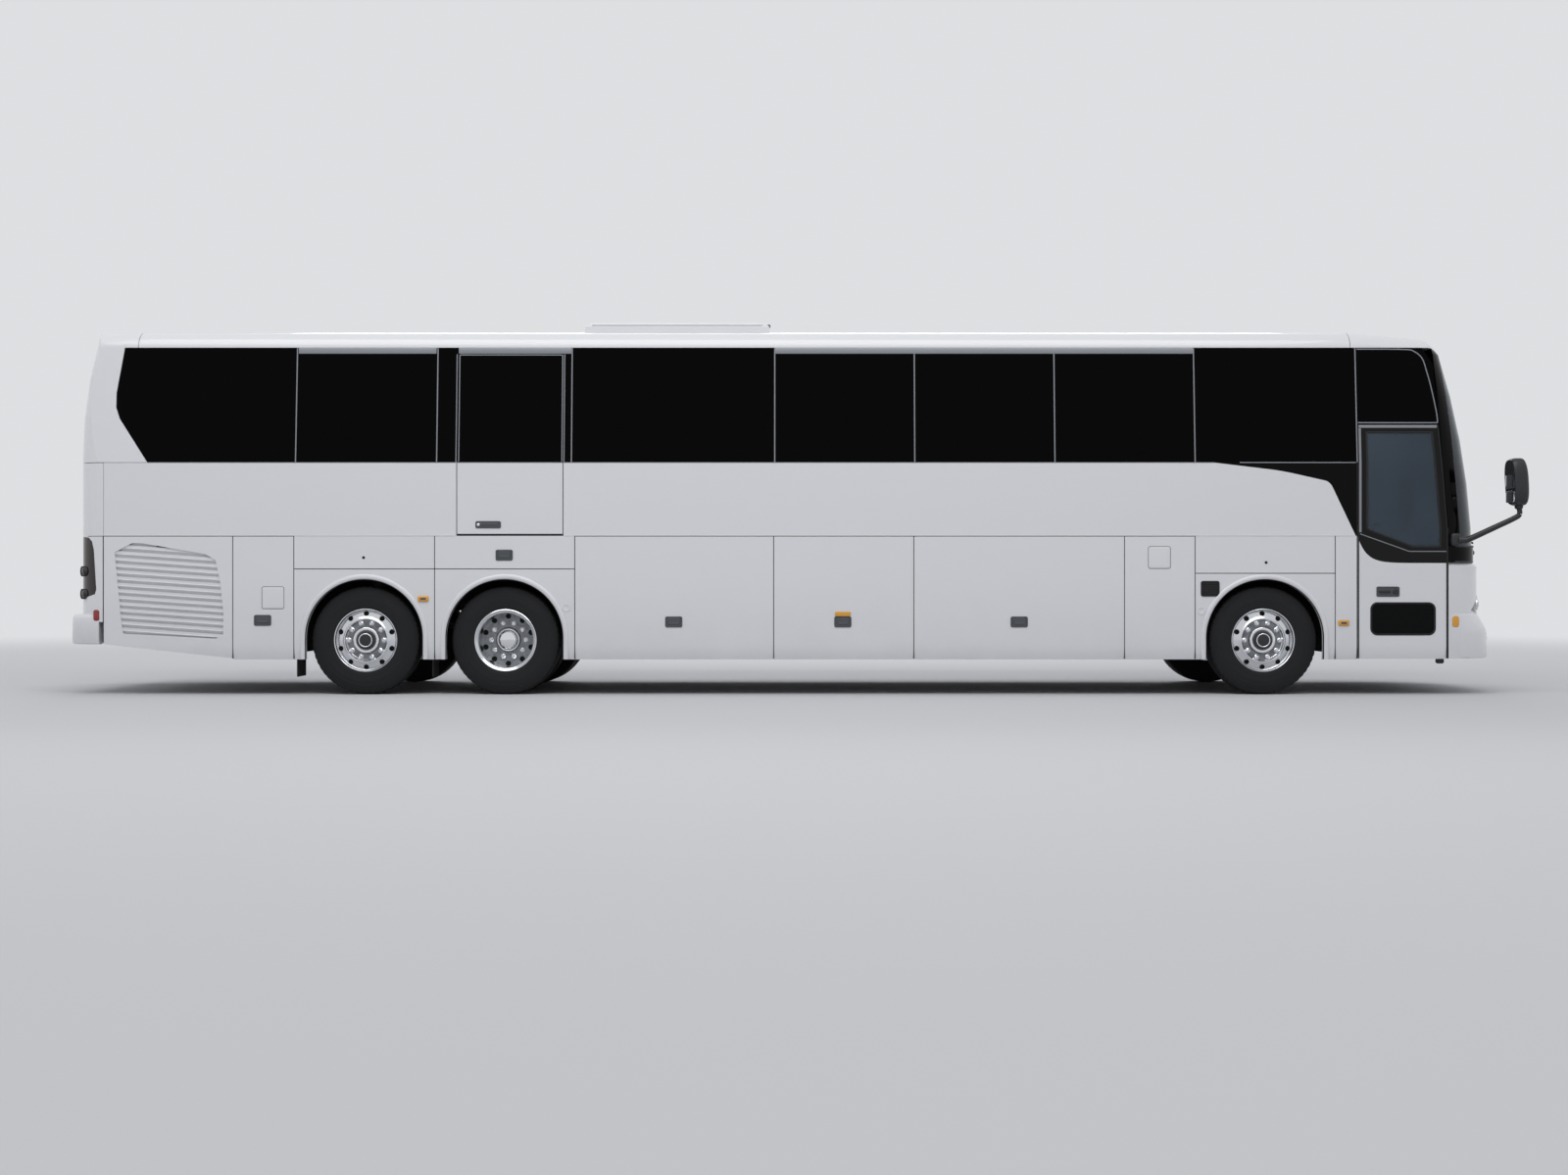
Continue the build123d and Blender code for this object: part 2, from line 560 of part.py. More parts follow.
GRILLE_OUTLINE = ((REAR_CORNER_LINE + HALF_GAP, 485), (GRILLE_LINE - HALF_GAP, 350),
                  (GRILLE_LINE - HALF_GAP, PANEL_Z[1]), (REAR_CORNER_LINE + HALF_GAP, PANEL_Z[1]))
GRILLE_OPENING = ((-6490, 1367), (-6318, 1458), (-6218, 1454), (-5614, 1349), (-5520, 1289), (-5477, 1086),
                  (-5445, 785), (-5448, 584), (-5513, 541), (-6405, 587), (-6419, 627))
grille_hole = flat(GRILLE_OPENING)
LOUVRE_COUNT = 14
SLAT_PITCH = 61
SLAT_SLOPE = 4
with BuildPart() as slats:
    for row in range(LOUVRE_COUNT):
        with BuildSketch(Plane.XZ):
            with Locations((-5960, 600 + row * SLAT_PITCH)):
                Rectangle(1200, 30, rotation=-SLAT_SLOPE)
        extrude(amount=1500)
grille_slats = wall_piece("middle", 12, 36, GRILLE_OPENING, right_only=True) & slats.part
with BuildPart() as grille_door:
    add(wall_piece("middle", 0, PANEL, GRILLE_OUTLINE, right_only=True, cuts=(grille_hole,)))
    add(grille_slats)

# side-hinged doors and top-hinged flaps, as (name, x0, x1)
PLAIN_DOORS = (("service_door", GRILLE_LINE, TAG_LINE), ("fuel_door", BAY_LINES[3], FUEL_LINE),
               ("luggage_flap_1", BAY_LINES[0], BAY_LINES[1]),
               ("luggage_flap_2", BAY_LINES[1], BAY_LINES[2]),
               ("luggage_flap_3", BAY_LINES[2], BAY_LINES[3]))
for name, x0, x1 in PLAIN_DOORS:
    door_area = rectangle_outline(x0 + HALF_GAP, x1 - HALF_GAP, *PANEL_Z)
    door = wall_piece("middle", 0, PANEL, door_area, right_only=True)
    finish(door, name + "_right")
    if name.startswith("luggage"):
        finish(left_copy(door), name + "_left")
finish(grille_door.part, "grille_door_right")

# on the left one wider door covers the engine bay
wide_area = rectangle_outline(GRILLE_LINE - HALF_GAP - 1, TAG_LINE - HALF_GAP, *PANEL_Z)
wide_panel = wall_piece("middle", 0, PANEL, wide_area, right_only=True)
with BuildPart() as wide_door:
    add(grille_door.part)
    add(wide_panel)
finish(left_copy(wide_door.part), "grille_door_left")

# lift door: white below the belt, a glazed frame above it
LIFT_OUTLINE = rectangle_outline(LIFT_DOOR[0], LIFT_DOOR[1] - HALF_GAP, *LIFT_DOOR_Z)
LIFT_GLASS = rectangle_outline(LIFT_DOOR[0], LIFT_DOOR[1] - HALF_GAP, BELT_Z, LIFT_DOOR_Z[1])
lift_opening = round_window(LIFT_DOOR[0] + 60, LIFT_DOOR[1] - 64, BELT_Z + 40, LIFT_DOOR_Z[1] - 45, 25)
lift_glass = wall_piece("middle", 0, GLASS, LIFT_GLASS, right_only=True)
with BuildPart() as lift_door:
    add(wall_piece("middle", 0, PANEL, LIFT_OUTLINE, right_only=True, cuts=(lift_opening,)))
    add(lift_glass, mode=Mode.SUBTRACT)
finish(lift_door.part, "lift_door")
finish(lift_glass, "lift_door_glass")

# entrance door: white lower panel, black upper frame, two panes
DOOR_Z = (345, DOOR_TOP_Z)
DOOR_SPLIT = ((DOOR_REAR + 4, 1480), (5475, 1360), (5560, 1272), (6292, 1262))
with BuildSketch() as door_lower:
    with BuildLine():
        Polyline((DOOR_REAR + 4, DOOR_Z[0]), (6292, DOOR_Z[0]), *reversed(DOOR_SPLIT), close=True)
    make_face()
with BuildSketch() as door_upper:
    with BuildLine():
        Polyline(*DOOR_SPLIT, (6294, 1600), (6214, DOOR_Z[1]), (DOOR_REAR + 4, DOOR_Z[1]), close=True)
    make_face()
LOWER_WINDOW = (5560, 6170, 579, 880)
UPPER_OPENING = ((5520, 1590), (5960, 1420), (6225, 1420), (6225, 1600), (6150, 2520), (5520, 2520))
lower_window = round_window(*LOWER_WINDOW, 60)
upper_opening = flat(UPPER_OPENING)


def door_piece(areas, cuts, outer, inner):
    """Piece of the entrance door inside one or more sketches."""
    with BuildPart() as piece:
        with BuildSketch(Plane.XZ):
            add(areas)
            for cut in cuts:
                add(cut, mode=Mode.SUBTRACT)
        extrude(amount=1500)
        add(skin("middle", outer, inner), mode=Mode.INTERSECT)
    return piece.part


finish(door_piece([door_lower.sketch, door_upper.sketch], (lower_window, upper_opening), 0, PANEL),
       "entrance_door")
finish(Compound([door_piece([window], (), 3, 3 + GLASS) for window in (lower_window, upper_opening)]),
       "door_glass")

# ---------------------------------------------------------------- floors and bulkheads
INNER_HALF = HALF_WIDTH - SHELL
CAB_X = FRONT_ARCH_LINE + 4
with BuildPart() as passenger_floor:
    with BuildSketch(Plane.XY.offset(FLOOR_Z - FLOOR_THICK)):
        with Locations(((REAR_CORNER_LINE + CAB_X) / 2, 0)):
            Rectangle(CAB_X - REAR_CORNER_LINE, 2 * INNER_HALF)
    extrude(amount=FLOOR_THICK)
finish(passenger_floor.part, "passenger_floor")

BULKHEAD_THICK = 24
BULKHEAD_HALF = 1230
BULKHEAD_Z = 400
UNDER_FLOOR_Z = FLOOR_Z - FLOOR_THICK
BULKHEAD_LINES = (TAG_LINE, *BAY_LINES, FUEL_LINE, FRONT_ARCH_LINE)
with BuildPart() as bulkheads:
    for x in BULKHEAD_LINES:
        with BuildSketch(Plane.YZ.offset(x - BULKHEAD_THICK / 2)):
            with Locations((0, (BULKHEAD_Z + UNDER_FLOOR_Z) / 2)):
                Rectangle(2 * BULKHEAD_HALF, UNDER_FLOOR_Z - BULKHEAD_Z)
        extrude(amount=BULKHEAD_THICK)
    with BuildSketch(Plane.YZ.offset(TAG_LINE - BULKHEAD_THICK)):
        with Locations((0, 760)):
            Rectangle(300, 760)
    extrude(amount=2 * BULKHEAD_THICK, mode=Mode.SUBTRACT)
finish(bulkheads.part, "bulkheads")

# wheel-well walls, as (x0, x1, y, z0)
WELL_WALLS = ((FUEL_LINE, FRONT_ARCH_LINE, 520, 700), (TAG_LINE, BAY_LINES[0], 545, 800))
LUGGAGE_FLOOR_Z = 400
with BuildPart() as underfloor_panels:
    with BuildSketch(Plane.XY.offset(LUGGAGE_FLOOR_Z)):
        for x0, x1 in zip(BAY_LINES[:-1], BAY_LINES[1:]):
            with Locations(((x0 + x1) / 2, 0)):
                Rectangle(x1 - x0 - BULKHEAD_THICK, 2 * BULKHEAD_HALF)
    extrude(amount=40)
    for x0, x1, y, z0 in WELL_WALLS:
        with BuildSketch(Plane.XY.offset(z0)):
            with Locations(((x0 + x1) / 2, -y), ((x0 + x1) / 2, y)):
                Rectangle(x1 - x0 - BULKHEAD_THICK, 20)
        extrude(amount=UNDER_FLOOR_Z - z0)
finish(underfloor_panels.part, "underfloor_panels")

# ---------------------------------------------------------------- cab floor, steps and dashboard
STEP_X = (5440, 6280)
# treads and risers of the entrance, as (y0, y1, z0, z1)
ENTRANCE_STEPS = ((-1230, -900, 350, 380), (-900, -840, 350, 640), (-840, -600, 560, 640),
                  (-600, -540, 560, 900))
CAB_EDGE_Y = -600
CAB_FRONT_X = 6480
CAB_HALF = 1000
AISLE_STEPS = ((5560, 1160), (5390, 1360))
with BuildPart() as cab_platform:
    with BuildSketch(Plane.XY.offset(CAB_FLOOR_Z - 60)):
        with BuildLine():
            Polyline((CAB_X + 8, CAB_EDGE_Y), (CAB_FRONT_X, CAB_EDGE_Y), (CAB_FRONT_X, CAB_HALF),
                     (6290, CAB_HALF), (6290, 1230), (CAB_X + 8, 1230), close=True)
        make_face()
    extrude(amount=60)
    for x, z in AISLE_STEPS:
        with BuildSketch(Plane.XY.offset(CAB_FLOOR_Z)):
            with Locations(((x + CAB_X + 8) / 2, -100)):
                Rectangle(x - CAB_X - 8, 700)
        extrude(amount=z - CAB_FLOOR_Z)
step_length = STEP_X[1] - STEP_X[0]
entrance_steps = [Pos(sum(STEP_X) / 2, (y0 + y1) / 2, (z0 + z1) / 2) * Box(step_length, y1 - y0, z1 - z0)
                  for y0, y1, z0, z1 in ENTRANCE_STEPS]
finish(Compound([cab_platform.part, *entrance_steps]), "cab_floor")

DRIVER_Y = 640
COLUMN_RADIUS = 40
COLUMN_LENGTH = 273
with BuildPart() as dashboard:
    with BuildSketch(Plane.XZ.offset(-CAB_HALF)):
        with BuildLine():
            Polyline((6300, CAB_FLOOR_Z), (6260, 1330), (6330, 1470), (6530, 1400), (6530, 1250),
                     (CAB_FRONT_X, CAB_FLOOR_Z), close=True)
        make_face()
    extrude(amount=CAB_HALF + 420)
finish(dashboard.part, "dashboard")

wheel_plane = Plane(origin=(6130, DRIVER_Y, 1600), x_dir=(0, 1, 0), z_dir=(-0.4, 0, 0.917))
with BuildPart() as steering_wheel:
    with BuildSketch(wheel_plane):
        RegularPolygon(235, SEAT_SIDES)
        RegularPolygon(205, SEAT_SIDES, mode=Mode.SUBTRACT)
        Rectangle(430, 40)
    extrude(amount=26)
    with BuildSketch(wheel_plane):
        Circle(COLUMN_RADIUS)
    extrude(amount=-COLUMN_LENGTH)
finish(steering_wheel.part, "steering_wheel")

# ---------------------------------------------------------------- seats
SEAT_ROWS = 12
SEAT_PITCH = 840
FIRST_SEAT_X = -5650
SEAT_WIDTH = 940
SEAT_Y = 720
CUSHION_TOP = 440
BACK_TOP = 1080
with BuildPart() as seat_cushions:
    for row in range(SEAT_ROWS):
        x = FIRST_SEAT_X + row * SEAT_PITCH
        with BuildSketch(Plane.XZ.offset(-SEAT_WIDTH / 2 - SEAT_Y)):
            with BuildLine():
                Polyline((x, FLOOR_Z), (x - 40, FLOOR_Z + CUSHION_TOP - 30),
                         (x + 440, FLOOR_Z + CUSHION_TOP), (x + 440, FLOOR_Z + 320), (x + 300, FLOOR_Z),
                         close=True)
            make_face()
        extrude(amount=SEAT_WIDTH)
    mirror(about=Plane.XZ)
    with BuildSketch(Plane.XZ.offset(-DRIVER_Y - 250)):
        with BuildLine():
            Polyline((5620, CAB_FLOOR_Z), (5440, CAB_FLOOR_Z + 430), (5900, CAB_FLOOR_Z + 460),
                     (5900, CAB_FLOOR_Z + 360), (5840, CAB_FLOOR_Z), close=True)
        make_face()
    extrude(amount=500)
finish(seat_cushions.part, "seat_cushions")

with BuildPart() as seat_backs:
    for row in range(SEAT_ROWS):
        x = FIRST_SEAT_X + row * SEAT_PITCH
        with BuildSketch(Plane.XZ.offset(-SEAT_WIDTH / 2 - SEAT_Y)):
            with BuildLine():
                Polyline((x - 40, FLOOR_Z + CUSHION_TOP - 30), (x + 68, FLOOR_Z + CUSHION_TOP - 23.25),
                         (x - 90, FLOOR_Z + BACK_TOP), (x - 170, FLOOR_Z + BACK_TOP), close=True)
            make_face()
        extrude(amount=SEAT_WIDTH)
    mirror(about=Plane.XZ)
    with BuildSketch(Plane.XZ.offset(-DRIVER_Y - 250)):
        with BuildLine():
            Polyline((5440, CAB_FLOOR_Z + 430), (5532, CAB_FLOOR_Z + 436), (5420, CAB_FLOOR_Z + 1130),
                     (5330, CAB_FLOOR_Z + 1130), close=True)
        make_face()
    extrude(amount=500)
finish(seat_backs.part, "seat_backs")

# ---------------------------------------------------------------- engine and axles
with BuildPart() as engine:
    with BuildSketch(Plane.XY.offset(620)):
        with Locations((-5850, 0)):
            Rectangle(1200, 860)
    extrude(amount=UNDER_FLOOR_Z - 620)
    with BuildSketch(Plane.XY.offset(640)):
        with Locations((-5065, 0)):
            Rectangle(370, 480)
    extrude(amount=360)
finish(engine.part, "engine")

DRUM_RADIUS = 205
DRUM_WIDTH = 90
AXLE_TUBE_RADIUS = 85
AXLE_BOWL_RADIUS = 190   # differential housing
AXLE_BOWL_HALF = 180
TAG_TUBE_RADIUS = 62
SHAFT_RADIUS = 55
AXLE_BEAM_HALF = 840
FRONT_BEAM_Z = (400, 490)
RIM_BACK = 125           # rim's inner edge from the wheel's middle plane
TYRE_HALF = 146
WHEEL_Y = WHEEL_OUTER_Y - TYRE_WIDTH / 2
AIR_SPRING_RADIUS = 120
KNUCKLE_RADIUS = 42


def solid_of_revolution(axle_x, profile):
    """Solid turned about an axle line from (y, radius) points."""
    with BuildPart() as turned:
        with BuildSketch(Plane.XY.offset(TYRE_RADIUS)):
            with BuildLine():
                Polyline(*[(axle_x + radius, y) for y, radius in profile], close=True)
            make_face()
        revolve(axis=Axis((axle_x, 0, TYRE_RADIUS), (0, 1, 0)))
    return turned.part


drive_inner = WHEEL_Y - DUAL_SPACING - RIM_BACK - 5
drive_axle = solid_of_revolution(DRIVE_AXLE_X, (
    (-drive_inner, 0), (-drive_inner, DRUM_RADIUS), (-drive_inner + DRUM_WIDTH, DRUM_RADIUS),
    (-drive_inner + DRUM_WIDTH, AXLE_TUBE_RADIUS), (-AXLE_BOWL_HALF, AXLE_TUBE_RADIUS),
    (-AXLE_BOWL_HALF, AXLE_BOWL_RADIUS), (AXLE_BOWL_HALF, AXLE_BOWL_RADIUS),
    (AXLE_BOWL_HALF, AXLE_TUBE_RADIUS),
    (drive_inner - DRUM_WIDTH, AXLE_TUBE_RADIUS), (drive_inner - DRUM_WIDTH, DRUM_RADIUS),
    (drive_inner, DRUM_RADIUS), (drive_inner, 0)))
tag_inner = WHEEL_Y - RIM_BACK - 5
tag_axle = solid_of_revolution(TAG_AXLE_X, (
    (-tag_inner, 0), (-tag_inner, DRUM_RADIUS), (-tag_inner + DRUM_WIDTH, DRUM_RADIUS),
    (-tag_inner + DRUM_WIDTH, TAG_TUBE_RADIUS), (tag_inner - DRUM_WIDTH, TAG_TUBE_RADIUS),
    (tag_inner - DRUM_WIDTH, DRUM_RADIUS), (tag_inner, DRUM_RADIUS), (tag_inner, 0)))
SHAFT_START = (DRIVE_AXLE_X - 100, 0, 600)
SHAFT_END = (-4872, 0, 800)
with BuildPart() as axles:
    add(drive_axle)
    with BuildSketch(Plane(origin=SHAFT_START, z_dir=Vector(*SHAFT_END) - Vector(*SHAFT_START))):
        Circle(SHAFT_RADIUS)
    extrude(amount=(Vector(*SHAFT_END) - Vector(*SHAFT_START)).length)
    for y in (-400, 400):
        with BuildSketch(Plane.XY.offset(TYRE_RADIUS)):
            with Locations((DRIVE_AXLE_X, y)):
                Circle(AIR_SPRING_RADIUS)
        extrude(amount=UNDER_FLOOR_Z - TYRE_RADIUS)
    add(tag_axle)
    for y in (-700, 700):
        with BuildSketch(Plane.XY.offset(TYRE_RADIUS)):
            with Locations((TAG_AXLE_X, y)):
                Circle(AIR_SPRING_RADIUS)
        extrude(amount=UNDER_FLOOR_Z - TYRE_RADIUS)
    with BuildSketch(Plane.XY.offset(FRONT_BEAM_Z[0])):
        with Locations((FRONT_AXLE_X, 0)):
            Rectangle(110, 2 * AXLE_BEAM_HALF)
            Rectangle(56, 2 * (KINGPIN_Y - KNUCKLE_RADIUS - 3))
    extrude(amount=FRONT_BEAM_Z[1] - FRONT_BEAM_Z[0])
    for y in (-390, 390):
        with BuildSketch(Plane.XY.offset(FRONT_BEAM_Z[1])):
            with Locations((FRONT_AXLE_X, y)):
                Circle(AIR_SPRING_RADIUS)
        extrude(amount=UNDER_FLOOR_Z - FRONT_BEAM_Z[1])
finish(axles.part, "axles")

# steering knuckle: kingpin post with its brake drum
drum = solid_of_revolution(FRONT_AXLE_X, ((-tag_inner, 0), (-tag_inner, DRUM_RADIUS),
                                          (-tag_inner + 50, DRUM_RADIUS), (-tag_inner + 50, 0)))
with BuildPart() as knuckle:
    add(drum)
    with BuildSketch(Plane.XY.offset(TYRE_RADIUS - 150)):
        with Locations((FRONT_AXLE_X, -KINGPIN_Y)):
            Circle(KNUCKLE_RADIUS)
    extrude(amount=300)
finish(knuckle.part, "knuckle_right")
finish(left_copy(knuckle.part), "knuckle_left")

# ---------------------------------------------------------------- wheels
HUB_RADIUS = 88
LIP_RADIUS = 262
LIP_OUT = 132            # rim's outer edge from the wheel's middle plane
DISC_OUT = -45           # dished disc, from the same plane


def wheel_ring(axle_x, y0, y1, outer, bore=None):
    """Ring or disc between two planes across the axle, from an outline and an optional bore."""
    with BuildPart() as ring:
        with BuildSketch(Plane(origin=(axle_x, y0, TYRE_RADIUS), x_dir=(1, 0, 0), z_dir=(0, 1, 0))):
            add(outer)
            if bore:
                add(bore, mode=Mode.SUBTRACT)
        extrude(amount=y1 - y0)
    return ring.part


with BuildSketch() as tyre_outline:
    Circle(TYRE_RADIUS)
with BuildSketch() as rim_seat:
    RegularPolygon(RIM_RADIUS, SEAT_SIDES)
with BuildSketch() as lip_outline:
    RegularPolygon(LIP_RADIUS, SEAT_SIDES)
with BuildSketch() as hub_outline:
    Circle(HUB_RADIUS)


def wheel(axle_x, dished, tyre_rows):
    """Tyre or tyres and their rim, on the left, as two pieces."""
    tyre_planes = [WHEEL_Y - row * DUAL_SPACING for row in range(tyre_rows)]
    tyres = [wheel_ring(axle_x, y - TYRE_HALF, y + TYRE_HALF, tyre_outline.sketch, rim_seat.sketch)
             for y in tyre_planes]
    back_y = WHEEL_Y - (tyre_rows - 1) * DUAL_SPACING - RIM_BACK
    lip_y = WHEEL_Y + LIP_OUT
    disc_y = WHEEL_Y + (DISC_OUT if dished else LIP_OUT)
    hub = wheel_ring(axle_x, disc_y - 10, disc_y + (48 if dished else 18), hub_outline.sketch)
    with BuildPart() as rim:
        add(wheel_ring(axle_x, back_y, disc_y, rim_seat.sketch))
        if dished:
            add(wheel_ring(axle_x, disc_y, lip_y, rim_seat.sketch, lip_outline.sketch))
        add(hub)
    return Compound(tyres), rim.part


# wheels as (name, axle x, whether the disc is dished, tyres side by side)
WHEELS = (("front", FRONT_AXLE_X, False, 1), ("drive", DRIVE_AXLE_X, True, 2), ("tag", TAG_AXLE_X, False, 1))
for name, axle_x, dished, rows in WHEELS:
    tyre, rim = wheel(axle_x, dished, rows)
    finish(tyre, f"{name}_tyre_left")
    finish(rim, f"{name}_rim_left")
    finish(left_copy(tyre), f"{name}_tyre_right")
    finish(left_copy(rim), f"{name}_rim_right")

# ---------------------------------------------------------------- roof unit, mirrors, mudflaps
UNIT_X = (-2017, -214)
UNIT_HALF = 950
UNIT_TOP_Z = 3612
FAN_TOP_Z = 3668
FAN_XS = (-1720, -1320, -920, -520)
with BuildPart() as roof_unit:
    with BuildSketch(Plane.XY.offset(3480)):
        with Locations(((UNIT_X[0] + UNIT_X[1]) / 2, 0)):
            Rectangle(UNIT_X[1] - UNIT_X[0], 2 * UNIT_HALF)
    extrude(amount=UNIT_TOP_Z - 3480)
    chamfer(roof_unit.faces().sort_by(Axis.Z)[-1].edges(), 30)
    with BuildSketch(Plane.XY.offset(UNIT_TOP_Z)):
        with Locations(*[(x, y) for x in FAN_XS for y in (-420, 420)]):
            Circle(170)
    extrude(amount=FAN_TOP_Z - UNIT_TOP_Z)
    add(ENVELOPES["middle", 0], mode=Mode.SUBTRACT)
finish(roof_unit.part, "roof_unit")

ARM_PATH = ((6385, -1326, 1483), (6460, -1350, 1483), (6905, -1480, 1712), (6885, -1480, 1830))
ARM_BASE = (6322, 6400, 1428, 1548)
HEAD_CENTRE = (6890, -1480)
HEAD_Z = (1805, 2255)
with BuildPart() as mirror_piece:
    with BuildLine() as arm_line:
        FilletPolyline(*ARM_PATH, radius=[30, 70])
    with BuildSketch(Plane(origin=ARM_PATH[0], z_dir=arm_line.line % 0)):
        Rectangle(56, 46)
    sweep()
    with BuildSketch(Plane.XZ.offset(1200)):
        add(round_window(*ARM_BASE, 10))
    extrude(amount=152)
    add(ENVELOPES["front", 0], mode=Mode.SUBTRACT)
    with BuildSketch(Plane.XY.offset(HEAD_Z[0])):
        with Locations(HEAD_CENTRE):
            RectangleRounded(158, 260, 45)
    extrude(amount=HEAD_Z[1] - HEAD_Z[0])
    chamfer(mirror_piece.faces().sort_by(Axis.Z)[-1].edges(), 24)
finish(Compound([mirror_piece.part, left_copy(mirror_piece.part)]), "mirrors")

MUDFLAPS = (-4758, -3455)
with BuildPart() as mudflaps:
    for x in MUDFLAPS:
        with BuildSketch(Plane.YZ.offset(x)):
            with Locations((-1090, 370), (1090, 370)):
                Rectangle(280, 400)
        extrude(amount=12)
finish(mudflaps.part, "mudflaps")
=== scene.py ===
"""Looks of the coach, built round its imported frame: wheels, trim, lamps, seats, materials and the stage."""

import json
from math import cos, pi, radians, sin, sqrt

import bmesh
import bpy
import numpy as np
from bpy.props import FloatProperty, FloatVectorProperty, IntProperty, PointerProperty
from bpy.types import Operator, Panel, PropertyGroup
from mathutils import Matrix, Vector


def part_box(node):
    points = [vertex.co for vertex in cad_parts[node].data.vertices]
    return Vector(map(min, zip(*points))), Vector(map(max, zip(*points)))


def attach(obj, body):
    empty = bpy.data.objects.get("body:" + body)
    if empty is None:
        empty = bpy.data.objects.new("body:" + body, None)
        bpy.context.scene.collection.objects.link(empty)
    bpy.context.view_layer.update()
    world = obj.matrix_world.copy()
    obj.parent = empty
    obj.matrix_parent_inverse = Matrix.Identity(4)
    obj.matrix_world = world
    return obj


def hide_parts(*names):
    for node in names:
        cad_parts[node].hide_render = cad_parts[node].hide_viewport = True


bl_info = {
    "name": "Coach looks",
    "version": (1, 0, 0),
    "blender": (4, 5, 0),
    "location": "View3D > Sidebar > Coach",
    "description": "Builds the wheels, trim, lamps, seats and stage of a three-axle coach round its frame",
    "category": "Object",
}

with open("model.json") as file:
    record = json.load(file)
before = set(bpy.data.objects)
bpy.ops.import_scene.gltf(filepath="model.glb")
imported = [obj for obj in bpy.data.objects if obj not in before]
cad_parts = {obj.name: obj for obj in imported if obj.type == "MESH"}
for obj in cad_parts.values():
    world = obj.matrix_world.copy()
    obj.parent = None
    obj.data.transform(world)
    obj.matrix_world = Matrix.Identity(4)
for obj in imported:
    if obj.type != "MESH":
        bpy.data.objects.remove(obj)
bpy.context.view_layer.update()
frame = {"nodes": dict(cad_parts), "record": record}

# lengths are in metres, with X forward, Y to the left and Z up
HALF_WIDTH = 1.296
BELT_Z = 2.23
GUTTER_Z = 3.34
WINDOW_LEAN = 0.074
NOSE_RADIUS = 3.5
SCREEN_CORNER = 0.4
# foremost x and corner radius of the front, at the fascia, its lamps and the bumper; x of the upright tail
FASCIA, LAMP_FACE, BUMPER = (6.833, 0.44), (6.836, 0.442), (6.934, 0.47)
TAIL_X = -6.871
AXLES = (("front", 4.54, "front_wheel"), ("drive", -2.75, "drive_wheels"), ("tag", -4.096, "tag_wheel"))
WHEEL_Y = 1.098
WHEEL_Z = 0.522
DUAL_SPACING = 0.345
SIDES = (("right", -1), ("left", 1))


# ---------------------------------------------------------------- settings
def length(name, description, default):
    return FloatProperty(name=name, description=description, default=default, unit="LENGTH")


def count_of(name, description, default, least=3):
    return IntProperty(name=name, description=description, default=default, min=least)


def colour(name, description, default):
    return FloatVectorProperty(name=name, description=description + ", sRGB", size=3, default=default,
                               subtype="COLOR_GAMMA", min=0, max=1)


class StageSettings(PropertyGroup):
    camera_place: FloatVectorProperty(name="Camera place", description="Where the camera stands", size=3,
                                      default=(-0.07, -18.0, 1.03), subtype="TRANSLATION", unit="LENGTH")
    lens: FloatProperty(name="Lens", description="Focal length of the camera", default=40.0, min=10.0,
                        unit="CAMERA")
    floor_colour: colour("Floor", "Colour of the floor", (0.8, 0.8, 0.81))
    back_colour: colour("Backdrop", "Colour behind the coach", (0.87, 0.875, 0.885))
    sky_strength: FloatProperty(name="Sky", description="Strength of the even light from all round", min=0,
                                default=0.55)
    key_power: FloatProperty(name="Key light", description="Power of the large soft light", min=0,
                             default=1250.0, unit="POWER")


class PaintSettings(PropertyGroup):
    body: colour("Body paint", "Colour of the body paint", (0.872, 0.874, 0.884))
    glass: colour("Side glass", "Colour of the dark side glass", (0.006, 0.006, 0.007))
    trim: colour("Black trim", "Colour of the gloss black trim", (0.012, 0.012, 0.013))


class WheelSettings(PropertyGroup):
    tyre_radius: length("Tyre radius", "Outer radius of the tyre", 0.522)
    half_width: length("Half width", "Half of the tyre's width", 0.146)
    groove_depth: length("Groove depth", "Depth of the tread grooves", 0.012)
    lugs: count_of("Shoulder lugs", "Number of lugs round each shoulder", 54, 12)
    nut_circle: length("Nut circle", "Radius of the circle of wheel nuts", 0.1675)
    nuts: count_of("Nuts", "Number of wheel nuts", 10)
    hand_holes: count_of("Hand holes", "Number of openings in the rim disc", 10)


class SeatSettings(PropertyGroup):
    crown: length("Crown", "How far a cushion bulges", 0.022)
    seams: count_of("Pleats", "Sewn channels across each seat", 3, 1)


# ---------------------------------------------------------------- surfaces
def smooth_path(points, count, closed=False):
    """Points along a Catmull-Rom curve through the given ones: each span blends its four nearest points."""
    p = np.array(points, float)
    n = len(p)
    spans = n if closed else n - 1
    t = np.linspace(0, spans, count, endpoint=not closed)
    i = np.minimum(t.astype(int), spans - 1)
    f = (t - i)[:, None]
    index = [(i + k) % n if closed else np.clip(i + k, 0, n - 1) for k in (-1, 0, 1, 2)]
    a, b, c, d = (p[k] for k in index)
    return 0.5 * (2 * b + (c - a) * f + (2 * a - 5 * b + 4 * c - d) * f**2 + (3 * b - a - 3 * c + d) * f**3)


def around(count):
    """Even angles round a full turn."""
    return np.linspace(0, 2 * pi, count, endpoint=False)


def surface(points, wrap=False):
    """Verts and quads of a (rows, columns, 3) grid: columns join end to end, and rows too where they wrap."""
    rows, columns = points.shape[:2]
    i, j = np.meshgrid(np.arange(rows - (not wrap)), np.arange(columns), indexing="ij")
    a, b = i.ravel() * columns, j.ravel()
    c, d = (a + columns) % (rows * columns), (b + 1) % columns
    return points.reshape(-1, 3), np.stack([a + b, c + b, c + d, a + d], 1)


def outward(part):
    """The same closed part with its faces turned outward: its signed volume comes out positive."""
    verts, faces = part
    q = verts[faces]
    volume = np.einsum("ij,ij->i", q[:, 0], np.cross(q[:, 1], q[:, 2]) + np.cross(q[:, 2], q[:, 3])).sum()
    return (verts, faces[:, ::-1]) if volume < 0 else part


